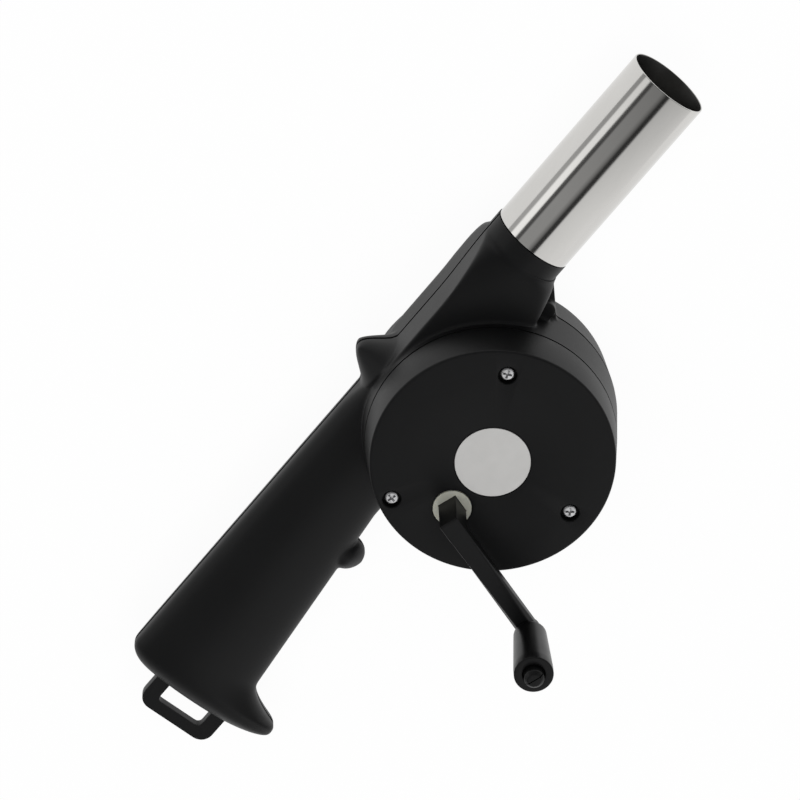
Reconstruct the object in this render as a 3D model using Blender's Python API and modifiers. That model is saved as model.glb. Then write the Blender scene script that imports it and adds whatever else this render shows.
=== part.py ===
"""Hand-cranked barbecue blower, lying on the flat back of its drum.

Metres, +Z up. The origin is the centre of the drum's back face. The crank and fan turn about
+Z, the steel nozzle points along +X and the handle along -X, both on the drum's +Y side.
"""

import math

import bmesh
import bpy
from mathutils import Matrix, Vector

# Fits
SEAT_GAP = 0.0003
RUN_GAP = 0.00015
TINY = 0.00001

# Drum; the drafts narrow it from the parting line to the cover's seam, the face and the back
DRUM_RADIUS = 0.0461
DRUM_DEPTH = 0.055
PARTING_Z = 0.0188
COVER_DEPTH = 0.017
SEAM_DRAFT = 0.0012
FACE_DRAFT = 0.0026
BACK_DRAFT = 0.0015
BACK_ROUND = 0.002
FACE_ROUND = 0.0009
WALL = 0.0021
CHAMBER_INSET = 0.0027
CHAMBER_DRAFT = 0.0012
DRUM_STEPS = 36

# Air nozzle and the collar that it slips over
TUBE_RADIUS = 0.015
TUBE_WALL = 0.0006
TUBE_Y = 0.0315
COLLAR_X = 0.063
COLLAR_LENGTH = 0.005
COLLAR_STEP = 0.0004
TUBE_END_X = 0.1392
SPIGOT_LENGTH = 0.014
SPIGOT_WALL = 0.0017
TUBE_STEPS = 40

# Duct, which turns from a box by the drum to a round collar
DUCT_DEPTH = 0.0153
DUCT_CREST = 0.0008
DUCT_CORNER = 0.005
DUCT_FRONT_POWER = 2.4
DUCT_BACK_POWER = 3.5
DUCT_SPREAD = 0.0037
DUCT_START_X = 0.006
DUCT_LOW_X = 0.028
FRONT_ROUND_X = (0.029, 0.057)
REAR_ROUND_X = (0.032, 0.054)

# Handle, in line with the duct's outer edge
OUTER_EDGE_Y = 0.0458
HANDLE_CROWN = 0.012
HANDLE_SIDE = 0.0045
HANDLE_BACK = 0.0135
HANDLE_BACK_SIDE = 0.0005
HANDLE_POWER = 2.0
HANDLE_END_X = -0.1563
HANDLE_INNER_Y = 0.0088
HANDLE_INNER_X = -0.0546
HANDLE_TAPER = 0.100
HANDLE_HOLLOW_X = -0.03
FRONT_JOIN_X = (-0.028, 0.004)
REAR_JOIN_X = (-0.009, 0.006)
END_CORNER_LENGTH = 0.008
END_CORNER_WIDTH = 0.014
END_ROUND = 0.011
FRONT_END_SHARE = 0.15
REAR_END_SHARE = 0.6
SECTION_STEPS = 10
HOLLOW_STEPS = 6
LEAST_WALL_SHARE = 0.01

# Pommel and finger stop on the handle's finger side
POMMEL_RISE = 0.0145
POMMEL_TIP_X = -0.15
POMMEL_FLANK_X = -0.1484
POMMEL_END_X = -0.1362
POMMEL_HOLLOW = 0.6
STOP_X = -0.0739
STOP_RISE = 0.0067
STOP_LENGTH = 0.0065
STOP_HEIGHT = 0.004
STOP_DEPTH = 0.006
STOP_TIP_HEIGHT = 0.0012
STOP_DOME = 1.5

# Hand guard, a horn on the outer edge where the handle meets the drum
GUARD_X = -0.0055
GUARD_RISE = 0.0096
GUARD_LENGTH = 0.0108
GUARD_FLARE = 0.6
GUARD_WALL_SHARE = 0.2
GUARD_POWER = 2.2
HORN_ROOT = 0.006
GUARD_ROOT_HEIGHT = 0.0138
GUARD_TIP_HEIGHT = 0.0045
GUARD_ROOT_DEPTH = 0.0085
GUARD_TIP_DEPTH = 0.0035
HORN_TIP = 0.995
HORN_STEPS = 6

# Hanging loop
LOOP_END_X = -0.1703
LOOP_LOW_Y = -0.0016
LOOP_HIGH_Y = 0.0295
LOOP_BAR = 0.0048
LOOP_SIDE = 0.006
LOOP_THICKNESS = 0.005
LOOP_CORNER = 0.005
LOOP_SLOT_CORNER = 0.0016
LOOP_ROOT = 0.003

# Gear train, stacked on the gear plate
MODULE = 0.0008
PRESSURE_ANGLE = math.radians(25)
ADDENDUM = 0.8
DEDENDUM = 1.05
BACKLASH = 0.00012
CRANK_TEETH = 34
IDLER_PINION_TEETH = 12
IDLER_WHEEL_TEETH = 30
FAN_TEETH = 12
CRANK_OFFSET = 0.0229
PLATE_BOSS_HEIGHT = 0.0035
WASHER_THICKNESS = 0.0005
AXLE_PLAY = 0.0005
WHEEL_THICKNESS = 0.004
WHEEL_TO_GEAR = 0.001
CRANK_GEAR_THICKNESS = 0.0048
IDLER_PROUD = 0.0006
FAN_PINION_PROUD = 0.0017
COVER_CLEARANCE = 0.0019

# Crank
CRANK_ANGLE = math.radians(251.3)
CRANK_THROW = 0.05
POST_SIDE = 0.0072
POST_HEIGHT = 0.0172
ARM_THICKNESS = 0.0052
ARM_END_WIDTH = 0.0054
ARM_BOSS_RADIUS = 0.0038
ARM_BOSS_HEIGHT = 0.0062
CRANK_BOSS_RADIUS = 0.0069
CRANK_BOSS_PROUD = 0.0002
CRANK_STUB_RADIUS = 0.0044
SOCKET_FLOOR = 0.0014
STUB_WEB = 0.003

# Crank knob and the snap pin that it turns on
KNOB_LENGTH = 0.0285
KNOB_BASE_RADIUS = 0.0059
KNOB_END_RADIUS = 0.0071
KNOB_RECESS_RADIUS = 0.0046
KNOB_RECESS_DEPTH = 0.003
KNOB_EDGE = 0.0008
KNOB_TAPER_START = 0.004
KNOB_TAPER_END = 0.002
PIN_RADIUS = 0.0025
PIN_HEAD_RADIUS = 0.0036
PIN_HEAD_PROUD = 0.0042
PIN_HEAD_EDGE = 0.0012
PIN_SLOT = 0.0009
PIN_SLOT_DEPTH = 0.006

# Fan
SHAFT_RADIUS = 0.002
SHAFT_FOOT_Z = 0.0018
SHAFT_TOP_GAP = 0.0013
FAN_CLEARANCE = 0.0109
FAN_EYE_RADIUS = 0.0135
FAN_DISC_DROP = 0.0058
FAN_DISC_THICKNESS = 0.0014
FAN_RIM = 0.0004
BLADE_FOOT_Z = 0.0056
BLADE_THICKNESS = 0.0014
BLADE_COUNT = 10
BLADE_SWEEP = math.radians(38)
BLADE_CURVE = 1.3
BLADE_STEPS = 4
FAN_HUB_RADIUS = 0.0055
FAN_HUB_FOOT_Z = 0.0086
FAN_HUB_FLARE = 0.0035
FAN_HUB_FLARE_HEIGHT = 0.006
FAN_HUB_DRAFT = 0.0006
CLIP_THICKNESS = 0.0006
CLIP_RADIUS = 0.0038
SHAFT_WASHER_RADIUS = 0.0044

# Bushes, idler pin and their bosses
BUSH_RADIUS = 0.004
BUSH_BOSS_RADIUS = 0.0066
REAR_BUSH_LENGTH = 0.0052
HUB_FLOOR = 0.0013
FRONT_BUSH_DROP = 0.0024
IDLER_PIN_RADIUS = 0.0015
IDLER_BOSS_RADIUS = 0.0036
SHAFT_RING_RADIUS = 0.0042
PIN_RING_RADIUS = 0.0033

# Air intake in the drum's back
INTAKE_RINGS = ((10, 0.0098, 0.0182), (18, 0.0212, 0.0308))
INTAKE_SLOT = 0.0028

# Screws; each cover screw is an inset from the drum's edge and an angle
SCREW_RADIUS = 0.0013
SCREW_HEAD_RADIUS = 0.0025
SCREW_HEAD_HEIGHT = 0.0019
SCREW_HOLE_GAP = 0.0002
HEAD_HOLE_GAP = 0.0006
COVER_SCREWS = ((0.0119, 30), (0.0078, 150.2), (0.0118, 271.7))
COVER_SCREW_DEPTH = 0.0029
COVER_SCREW_LENGTH = 0.011
COVER_BOSS_RADIUS = 0.0042
COVER_BOSS_HEIGHT = 0.0044
COVER_POST_RADIUS = 0.0034
SHELL_SCREW_SEAT_Z = 0.0112
SHELL_SCREW_LENGTH = 0.0135
SHELL_BOSS_RADIUS = 0.004
POST_STEPS = 10
POST_GAP = 0.0001
HOLE_STEPS = 10
DRUM_BOSS_INSET = 0.0057
DRUM_BOSS_RADIUS = 0.0036
DRUM_BOSS_ANGLES = (236, 318)
HANDLE_SCREW_SPOTS = ((-0.139, 0.021), (-0.1, 0.025), (-0.0605, 0.027))

# Web between the drum and the duct, round the sixth screw from behind
GUSSET_SCREW_OUT = 0.0012
GUSSET_SCREW_IN = 0.0042
GUSSET_FOOT_ANGLE = 7.4
GUSSET_HIGH_ANGLE = 22
GUSSET_TIP_GAP = 0.0014
GUSSET_REACH = 0.012
GUSSET_RISE = 0.003
GUSSET_DEPTH = 0.009
GUSSET_POST_RADIUS = 0.0034

# Round label on the face
LABEL_RADIUS = 0.0134
LABEL_THICKNESS = 0.0003
LABEL_RECESS = 0.0005

MODEL_NAME = "barbecue_blower"
SMOOTH_ANGLE = math.radians(32)

FRONT_FOOT_Z = PARTING_Z + SEAT_GAP / 2
REAR_TOP_Z = PARTING_Z - SEAT_GAP / 2
SEAM_RADIUS = DRUM_RADIUS - SEAM_DRAFT
FACE_RADIUS = DRUM_RADIUS - FACE_DRAFT
BACK_RADIUS = DRUM_RADIUS - BACK_DRAFT
INNER_RADIUS = DRUM_RADIUS - CHAMBER_INSET
COVER_SEAM_Z = DRUM_DEPTH - COVER_DEPTH
COVER_FOOT_Z = COVER_SEAM_Z + SEAT_GAP
COVER_INSIDE_Z = DRUM_DEPTH - WALL
COVER_POST_TOP_Z = COVER_INSIDE_Z - COVER_BOSS_HEIGHT

IDLER_TOP_Z = COVER_INSIDE_Z - COVER_CLEARANCE
CRANK_GEAR_TOP_Z = IDLER_TOP_Z - IDLER_PROUD
CRANK_GEAR_Z = CRANK_GEAR_TOP_Z - CRANK_GEAR_THICKNESS
WHEEL_Z = CRANK_GEAR_Z - WHEEL_TO_GEAR - WHEEL_THICKNESS
FAN_PINION_TOP_Z = WHEEL_Z + WHEEL_THICKNESS + FAN_PINION_PROUD
PLATE_BOSS_TOP_Z = WHEEL_Z - AXLE_PLAY - WASHER_THICKNESS
GEAR_PLATE_TOP_Z = PLATE_BOSS_TOP_Z - PLATE_BOSS_HEIGHT
GEAR_PLATE_Z = GEAR_PLATE_TOP_Z - WALL
FRONT_BUSH_FOOT_Z = GEAR_PLATE_Z - FRONT_BUSH_DROP
FAN_DISC_Z = GEAR_PLATE_Z - FAN_DISC_DROP
FAN_RADIUS = DRUM_RADIUS - FAN_CLEARANCE
SHAFT_TOP_Z = COVER_INSIDE_Z - SHAFT_TOP_GAP
CRANK_BOSS_TOP_Z = DRUM_DEPTH + CRANK_BOSS_PROUD
SOCKET_FLOOR_Z = CRANK_GEAR_Z + SOCKET_FLOOR
POST_FOOT_Z = SOCKET_FLOOR_Z + SEAT_GAP
STUB_RECESS_Z = SOCKET_FLOOR_Z - STUB_WEB
ARM_TOP_Z = DRUM_DEPTH + POST_HEIGHT

COLLAR_START_X = COLLAR_X - COLLAR_LENGTH
COLLAR_LOW_Y = TUBE_Y - TUBE_RADIUS
COLLAR_HIGH_Y = TUBE_Y + TUBE_RADIUS
SPIGOT_RADIUS = TUBE_RADIUS - TUBE_WALL - SEAT_GAP
BORE_RADIUS = SPIGOT_RADIUS - SPIGOT_WALL
COLLAR_HEIGHT = TUBE_RADIUS - SEAT_GAP / 2
DUCT_CROWN = GEAR_PLATE_TOP_Z - SEAT_GAP - FRONT_FOOT_Z
GUSSET_SPOT = (DRUM_RADIUS + GUSSET_SCREW_OUT, COLLAR_LOW_Y - GUSSET_SCREW_IN)


def clear_scene():
    for item in list(bpy.data.objects):
        bpy.data.objects.remove(item, do_unlink=True)


def make_collection(name, parent=None):
    collection = bpy.data.collections.new(name)
    (parent or bpy.context.scene.collection).children.link(collection)
    return collection


clear_scene()
PARTS = make_collection(MODEL_NAME)
CUTTERS = make_collection("cutters")


def add_object(name, mesh, collection):
    item = bpy.data.objects.new(name, mesh)
    collection.objects.link(item)
    if collection is not PARTS:
        item.hide_render = True
        item.display_type = "WIRE"
    return item


def add_bmesh(name, bm, collection):
    bmesh.ops.recalc_face_normals(bm, faces=bm.faces)
    mesh = bpy.data.meshes.new(name)
    bm.to_mesh(mesh)
    bm.free()
    return add_object(name, mesh, collection)


def baked(item):
    """Replace an object's curve or modifiers by the mesh that they make."""
    bpy.context.view_layer.update()
    graph = bpy.context.evaluated_depsgraph_get()
    mesh = bpy.data.meshes.new_from_object(item.evaluated_get(graph))
    bm = bmesh.new()
    bm.from_mesh(mesh)
    bmesh.ops.remove_doubles(bm, verts=bm.verts, dist=TINY / 10)
    bm.to_mesh(mesh)
    bm.free()
    name = item.name
    collection = item.users_collection[0]
    place = item.matrix_world.copy()
    bpy.data.objects.remove(item, do_unlink=True)
    result = add_object(name, mesh, collection)
    result.matrix_world = place
    return result


def cylinder(name, radius, low, high, spot=(0, 0), steps=20, collection=CUTTERS,
             top_radius=None):
    bm = bmesh.new()
    bmesh.ops.create_cone(
        bm, cap_ends=True, segments=steps, radius1=radius,
        radius2=radius if top_radius is None else top_radius, depth=high - low)
    bmesh.ops.translate(bm, verts=bm.verts, vec=(spot[0], spot[1], (low + high) / 2))
    return add_bmesh(name, bm, collection)


def box(name, low, high, collection=CUTTERS, turn=0.0):
    size = Vector(high) - Vector(low)
    bm = bmesh.new()
    bmesh.ops.create_cube(bm, size=1)
    bmesh.ops.scale(bm, verts=bm.verts, vec=size)
    bmesh.ops.translate(bm, verts=bm.verts, vec=(Vector(high) + Vector(low)) / 2)
    bmesh.ops.rotate(bm, verts=bm.verts, cent=(0, 0, 0), matrix=Matrix.Rotation(turn, 3, "Z"))
    return add_bmesh(name, bm, collection)


def turned(name, profile, steps=24, collection=CUTTERS, closed=False):
    """Turn a profile of (radius, height) about Z; it runs down the outer side."""
    mesh = bpy.data.meshes.new(name)
    verts = [(radius, 0, height) for radius, height in profile]
    edges = [(i, i + 1) for i in range(len(verts) - 1)]
    if closed:
        edges.append((len(verts) - 1, 0))
    mesh.from_pydata(verts, edges, [])
    item = add_object(name, mesh, collection)
    screw = item.modifiers.new("turn", "SCREW")
    screw.steps = steps
    screw.render_steps = steps
    screw.use_merge_vertices = True
    screw.merge_threshold = TINY
    return baked(item)


def plate(name, outlines, low, high, collection=CUTTERS):
    """Extrude flat closed outlines in X and Y; an outline inside another is a hole."""
    curve = bpy.data.curves.new(name, "CURVE")
    curve.dimensions = "2D"
    curve.fill_mode = "BOTH"
    curve.extrude = (high - low) / 2
    for outline in outlines:
        spline = curve.splines.new("POLY")
        spline.points.add(len(outline) - 1)
        for point, place in zip(spline.points, outline):
            point.co = (place[0], place[1], 0, 1)
        spline.use_cyclic_u = True
    item = add_object(name, curve, collection)
    item.location.z = (high + low) / 2
    item = baked(item)
    item.data.transform(item.matrix_world)
    item.matrix_world = Matrix()
    return item


def round_corner(corner, start, sweep, radius, steps=4):
    """Points of an arc round the centre given as corner."""
    turns = [start + sweep * i / steps for i in range(steps + 1)]
    return [(corner[0] + radius * math.cos(t), corner[1] + radius * math.sin(t)) for t in turns]


def combine(item, others, operation, label):
    """Join or cut an object by others, which stay as hidden guides."""
    group = make_collection(label, CUTTERS)
    for other in others:
        CUTTERS.objects.unlink(other)
        group.objects.link(other)
    boolean = item.modifiers.new(label, "BOOLEAN")
    boolean.solver = "EXACT"
    boolean.operation = operation
    boolean.operand_type = "COLLECTION"
    boolean.collection = group


def polar(radius, degrees):
    turn = math.radians(degrees)
    return (radius * math.cos(turn), radius * math.sin(turn))


def line(x, start, end):
    """Share of the way from start to end, from 0 to 1."""
    return min(max((x - start) / (end - start), 0), 1)


def blend(x, start, end):
    share = line(x, start, end)
    return share * share * (3 - 2 * share)


def quarter(x, start, length):
    """Height of a quarter ellipse that rises from 0 to 1 over its length."""
    share = 1 - line(x, start, start + length)
    return math.sqrt(1 - share * share)


def spread(start, end, steps):
    return [start + (end - start) * i / steps for i in range(steps)]


def eased(start, end, steps):
    """Places from start to end that lie closer together near the end."""
    return [start + (end - start) * math.sin(math.pi / 2 * i / steps) for i in range(steps)]


def easing_off(start, end, steps):
    """Places from start to end that lie closer together near the start."""
    return [start + (end - start) * (1 - math.cos(math.pi / 2 * i / steps)) for i in range(steps)]


# The long form: handle, duct and collar along X, in a front and a back half

class Half:
    """One half of the moulding. Handle and duct are each a height, a side wall and a power."""

    def __init__(self, name, side, handle, duct, join_x, round_x, end_share):
        self.name = name
        self.side = side
        self.foot = FRONT_FOOT_Z if side > 0 else REAR_TOP_Z
        self.handle = handle
        self.duct = duct
        self.join_x = join_x
        self.round_x = round_x
        self.end_share = end_share

    def round_share(self, x):
        """0 where the duct is a box, 1 where it is as round as the collar."""
        share = line(x, *self.round_x)
        return 1 - math.sqrt(1 - share * share)

    def mixed(self, x, field):
        share = blend(x, *self.join_x)
        return self.handle[field] * (1 - share) + self.duct[field] * share

    def height(self, x):
        body = self.mixed(x, 0)
        body += (COLLAR_HEIGHT + COLLAR_STEP - body) * self.round_share(x)
        end = quarter(x, HANDLE_END_X, END_ROUND)
        return body * (self.end_share + (1 - self.end_share) * end)

    def wall_share(self, x):
        """Share of the height that is upright side wall, and not crowned."""
        share = self.mixed(x, 1) / self.mixed(x, 0)
        return share * (1 - self.round_share(x)) + LEAST_WALL_SHARE

    def power(self, x):
        """Squareness of the crown's shoulders; 2 is a circle."""
        value = self.mixed(x, 2)
        return value + (2 - value) * self.round_share(x)


FRONT = Half("front", 1, (HANDLE_CROWN, HANDLE_SIDE, HANDLE_POWER),
             (DUCT_CROWN, DUCT_CROWN - DUCT_CREST, DUCT_FRONT_POWER), FRONT_JOIN_X,
             FRONT_ROUND_X, FRONT_END_SHARE)
REAR = Half("rear", -1, (HANDLE_BACK, HANDLE_BACK_SIDE, HANDLE_POWER),
            (DUCT_DEPTH, DUCT_DEPTH - DUCT_CORNER, DUCT_BACK_POWER), REAR_JOIN_X,
            REAR_ROUND_X, REAR_END_SHARE)


def high_edge(x):
    """Outer edge at the parting line, straight but for the handle's end corner."""
    corner = END_CORNER_WIDTH * (1 - quarter(x, HANDLE_END_X, END_CORNER_LENGTH))
    rise = COLLAR_HIGH_Y + COLLAR_STEP - OUTER_EDGE_Y
    return OUTER_EDGE_Y - corner + rise * blend(x, DUCT_LOW_X, COLLAR_START_X)


def finger_line(x):
    return HANDLE_INNER_Y + HANDLE_TAPER * (min(x, HANDLE_INNER_X) - HANDLE_INNER_X)


def pommel(x):
    flank = 1 - blend(x, POMMEL_FLANK_X, POMMEL_END_X)
    return math.sin(math.pi / 2 * line(x, HANDLE_END_X, POMMEL_TIP_X)) * flank


def low_edge(x):
    """Inner edge: finger side of the handle, then the side of the duct by the drum."""
    handle = finger_line(x) - POMMEL_RISE * pommel(x)
    duct = COLLAR_LOW_Y - COLLAR_STEP - DUCT_SPREAD * (1 - line(x, DUCT_LOW_X, COLLAR_START_X))
    return handle + (duct - handle) * blend(x, REAR_JOIN_X[0], DUCT_LOW_X)


def half_section(low, high, height, wall_share, power, steps=SECTION_STEPS):
    """Points (across, up) of a crowned half section on two upright side walls."""
    middle = (low + high) / 2
    half = (high - low) / 2
    wall = height * wall_share
    points = [(high, 0)]
    for i in range(steps + 1):
        turn = math.pi * i / steps
        along = math.cos(turn)
        up = math.sin(turn) if 0 < i < steps else 0
        across = middle + half * math.copysign(abs(along) ** (2 / power), along)
        points.append((across, wall + (height - wall) * up ** (2 / power)))
    points.append((low, 0))
    return points


def across_x(x, foot, side, points):
    return [(x, y, foot + side * up) for y, up in points]


def loft(name, sections, collection=CUTTERS):
    """Skin closed sections of like count, with a cap at each end."""
    bm = bmesh.new()
    rows = [[bm.verts.new(point) for point in points] for points in sections]
    count = len(rows[0])
    for near, far in zip(rows, rows[1:]):
        for i in range(count):
            j = (i + 1) % count
            bm.faces.new((near[i], near[j], far[j], far[i]))
    bm.faces.new(rows[0])
    bm.faces.new(rows[-1])
    bmesh.ops.triangulate(bm, faces=bm.faces)
    return add_bmesh(name, bm, collection)


def long_stations(half):
    """Places of the sections, closer together where an edge turns."""
    places = easing_off(HANDLE_END_X, POMMEL_TIP_X, 6)
    places += [POMMEL_TIP_X] + spread(POMMEL_FLANK_X, POMMEL_END_X, 4)
    places += spread(POMMEL_END_X, half.join_x[0], 4)
    places += spread(half.join_x[0], half.join_x[1], 4)
    places += spread(half.join_x[1], half.round_x[0], 2)
    places += eased(*half.round_x, 6)
    places += [half.round_x[1], COLLAR_START_X - SEAT_GAP]
    return places


def long_half(half):
    sections = []
    for x in long_stations(half):
        points = half_section(low_edge(x), high_edge(x), half.height(x), half.wall_share(x),
                              half.power(x))
        sections.append(across_x(x, half.foot, half.side, points))
    collar = half_section(COLLAR_LOW_Y, COLLAR_HIGH_Y, COLLAR_HEIGHT, LEAST_WALL_SHARE, 2)
    for x in (COLLAR_START_X, COLLAR_X):
        sections.append(across_x(x, half.foot, half.side, collar))
    return loft(half.name + "_shell", sections)


def horn(name, half, spot, rise, wall_share, power, reach, height):
    """Skin a horn on an edge of the long form, from its root inside the edge to its tip.

    Its reach along X and its height vary with the share of its rise.
    """
    shares = [0] + eased(0, 1, HORN_STEPS) + [HORN_TIP]
    places = [-HORN_ROOT / abs(rise)] + shares[1:]
    sections = []
    for share, place in zip(shares, places):
        points = half_section(spot[0] - reach(share), spot[0] + reach(share), height(share),
                              wall_share, power)
        y = spot[1] + rise * place
        sections.append([(x, y, half.foot + half.side * z) for x, z in points])
    return loft(half.name + name, sections)


def guard(half, root_height, tip_height):
    """The hand guard, whose flanks run out into the edge."""
    return horn("_guard", half, (GUARD_X, OUTER_EDGE_Y), GUARD_RISE, GUARD_WALL_SHARE,
                GUARD_POWER,
                lambda share: GUARD_LENGTH * math.acos(share ** GUARD_FLARE) * 2 / math.pi,
                lambda share: root_height + (tip_height - root_height) * share)


def finger_stop(half, height):
    """The knuckle on the finger side, domed down to the parting line."""
    return horn("_stop", half, (STOP_X, finger_line(STOP_X)), -STOP_RISE, LEAST_WALL_SHARE,
                HANDLE_POWER,
                lambda share: STOP_LENGTH * math.sqrt(1 - share * share),
                lambda share: STOP_TIP_HEIGHT + height * (1 - share ** STOP_DOME))


def spigot_half(half):
    points = half_section(TUBE_Y - SPIGOT_RADIUS, TUBE_Y + SPIGOT_RADIUS,
                          SPIGOT_RADIUS - SEAT_GAP / 2, LEAST_WALL_SHARE, 2)
    ends = (COLLAR_X - COLLAR_LENGTH / 2, COLLAR_X + SPIGOT_LENGTH)
    return loft(half.name + "_spigot",
                [across_x(x, half.foot, half.side, points) for x in ends])


def handle_hollow(half):
    """The handle's hollow, which ends at the drum's wall."""
    places = spread(HANDLE_END_X + 2 * WALL, POMMEL_END_X, 5)
    places += spread(POMMEL_END_X, HANDLE_HOLLOW_X, 3) + [HANDLE_HOLLOW_X]
    sections = []
    for x in places:
        low = finger_line(x) - POMMEL_HOLLOW * POMMEL_RISE * pommel(x)
        points = half_section(low + WALL, high_edge(x) - WALL, half.height(x),
                              half.wall_share(x), half.power(x), HOLLOW_STEPS)
        sections.append(across_x(x, half.foot - half.side * WALL, half.side, points))
    hollow = loft(half.name + "_handle", sections)
    core = cylinder(half.name + "_drum_core", DRUM_RADIUS - TINY, -WALL, DRUM_DEPTH,
                    steps=DRUM_STEPS)
    combine(hollow, [core], "DIFFERENCE", half.name + "_limit")
    return baked(hollow)


def duct_hollow(half):
    """The air way from the drum into the nozzle."""
    sections = []
    foot = half.foot - half.side * 2 * SEAT_GAP
    for x in spread(DUCT_START_X, DUCT_LOW_X, 2) + eased(DUCT_LOW_X, COLLAR_START_X, 4):
        share = half.round_share(x)
        low = low_edge(x) + WALL
        high = high_edge(x) - WALL
        height = half.height(x) - WALL
        points = half_section(
            low + (TUBE_Y - BORE_RADIUS - low) * share,
            high + (TUBE_Y + BORE_RADIUS - high) * share,
            height + (BORE_RADIUS - height) * share, half.wall_share(x), half.power(x),
            HOLLOW_STEPS + 2)
        sections.append(across_x(x, foot, half.side, points))
    bore = half_section(TUBE_Y - BORE_RADIUS, TUBE_Y + BORE_RADIUS, BORE_RADIUS,
                        LEAST_WALL_SHARE, 2, HOLLOW_STEPS + 2)
    for x in (COLLAR_START_X, COLLAR_X + SPIGOT_LENGTH + WALL):
        sections.append(across_x(x, foot, half.side, bore))
    return loft(half.name + "_duct", sections)


def gusset(name, low, high):
    """Three-cornered web between the duct and the drum, round a screw."""
    tip = (COLLAR_START_X - GUSSET_TIP_GAP, COLLAR_LOW_Y - COLLAR_STEP)
    corners = [tip, (COLLAR_START_X - GUSSET_REACH, COLLAR_LOW_Y + WALL),
               polar(DRUM_RADIUS - WALL, GUSSET_HIGH_ANGLE),
               polar(DRUM_RADIUS - WALL, GUSSET_FOOT_ANGLE),
               polar(DRUM_RADIUS + RUN_GAP, GUSSET_FOOT_ANGLE)]
    return plate(name, [corners], low, high)


# Gears

def involute(angle):
    return math.tan(angle) - angle


def gear_outline(teeth, phase, flank_steps):
    """Outline of a spur gear with a tooth centred on the phase angle."""
    pitch = teeth * MODULE / 2
    base = pitch * math.cos(PRESSURE_ANGLE)
    tip = pitch + ADDENDUM * MODULE
    root = pitch - DEDENDUM * MODULE
    half = math.pi / teeth / 2 - BACKLASH / 2 / pitch + involute(PRESSURE_ANGLE)
    start = max(base, root)
    radii = [start + (tip - start) * i / flank_steps for i in range(flank_steps + 1)]
    flank = [(r, half - involute(math.acos(min(base / r, 1)))) for r in radii]
    if root < base:
        flank.insert(0, (root, flank[0][1]))
    points = []
    for i in range(teeth):
        middle = phase + math.tau * i / teeth
        side = [(r, middle - turn) for r, turn in flank]
        side += [(r, middle + turn) for r, turn in reversed(flank)]
        points += [(r * math.cos(turn), r * math.sin(turn)) for r, turn in side]
    return points


def centre_distance(one, other):
    return (one + other) * MODULE / 2


def meshed_phase(phase, teeth, other_teeth, direction):
    """Phase of a gear that lies in the given direction and meshes with the first."""
    return direction + math.pi - math.pi / other_teeth + (direction - phase) * teeth / other_teeth


CRANK_SPOT = (-CRANK_OFFSET, 0.0)
CRANK_TO_IDLER = centre_distance(CRANK_TEETH, IDLER_PINION_TEETH)
IDLER_TO_FAN = centre_distance(IDLER_WHEEL_TEETH, FAN_TEETH)
IDLER_X = (CRANK_TO_IDLER ** 2 - IDLER_TO_FAN ** 2 - CRANK_OFFSET ** 2) / (2 * CRANK_OFFSET)
IDLER_SPOT = (IDLER_X, -math.sqrt(IDLER_TO_FAN ** 2 - IDLER_X ** 2))
PIN_SPOT = (CRANK_SPOT[0] + CRANK_THROW * math.cos(CRANK_ANGLE),
            CRANK_SPOT[1] + CRANK_THROW * math.sin(CRANK_ANGLE))

CRANK_PHASE = 0.0
TO_IDLER = math.atan2(IDLER_SPOT[1] - CRANK_SPOT[1], IDLER_SPOT[0] - CRANK_SPOT[0])
TO_FAN = math.atan2(-IDLER_SPOT[1], -IDLER_SPOT[0])
PINION_PHASE = meshed_phase(CRANK_PHASE, CRANK_TEETH, IDLER_PINION_TEETH, TO_IDLER)
WHEEL_PHASE = 0.0
FAN_PHASE = meshed_phase(WHEEL_PHASE, IDLER_WHEEL_TEETH, FAN_TEETH, TO_FAN)

COVER_SCREW_SPOTS = [polar(DRUM_RADIUS - inset, turn) for inset, turn in COVER_SCREWS]
DRUM_BOSS_SPOTS = [polar(DRUM_RADIUS - DRUM_BOSS_INSET, turn) for turn in DRUM_BOSS_ANGLES]
SHELL_SCREW_SPOTS = list(HANDLE_SCREW_SPOTS) + DRUM_BOSS_SPOTS + [GUSSET_SPOT]
SCREW_HOLE_RADIUS = SCREW_RADIUS + SCREW_HOLE_GAP
HEAD_HOLE_RADIUS = SCREW_HEAD_RADIUS + HEAD_HOLE_GAP


# Materials

def make_material(name, colour, roughness, metallic=0.0):
    material = bpy.data.materials.new(name)
    material.use_nodes = True
    shader = material.node_tree.nodes["Principled BSDF"]
    shader.inputs["Base Color"].default_value = (*colour, 1)
    shader.inputs["Roughness"].default_value = roughness
    shader.inputs["Metallic"].default_value = metallic
    return material


def finish_part(item, colour, roughness, metallic=0.0, spot=(0, 0), smooth=True):
    """Give a part its material and its place, and shade its round faces smooth."""
    bpy.context.view_layer.update()
    item = baked(item)
    item.data.materials.clear()
    item.data.materials.append(make_material(item.name, colour, roughness, metallic))
    item.location = (spot[0], spot[1], 0)
    if smooth:
        item.data.shade_smooth()
        item.data.set_sharp_from_angle(angle=SMOOTH_ANGLE)
    return item


BLACK = (0.018, 0.018, 0.019)
SATIN_BLACK = (0.012, 0.012, 0.013)
CREAM = (0.80, 0.76, 0.58)
STEEL = (0.62, 0.61, 0.60)
BRASS = (0.72, 0.54, 0.26)
WHITE = (0.80, 0.80, 0.79)
ZINC = (0.70, 0.70, 0.72)


# Housing

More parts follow.
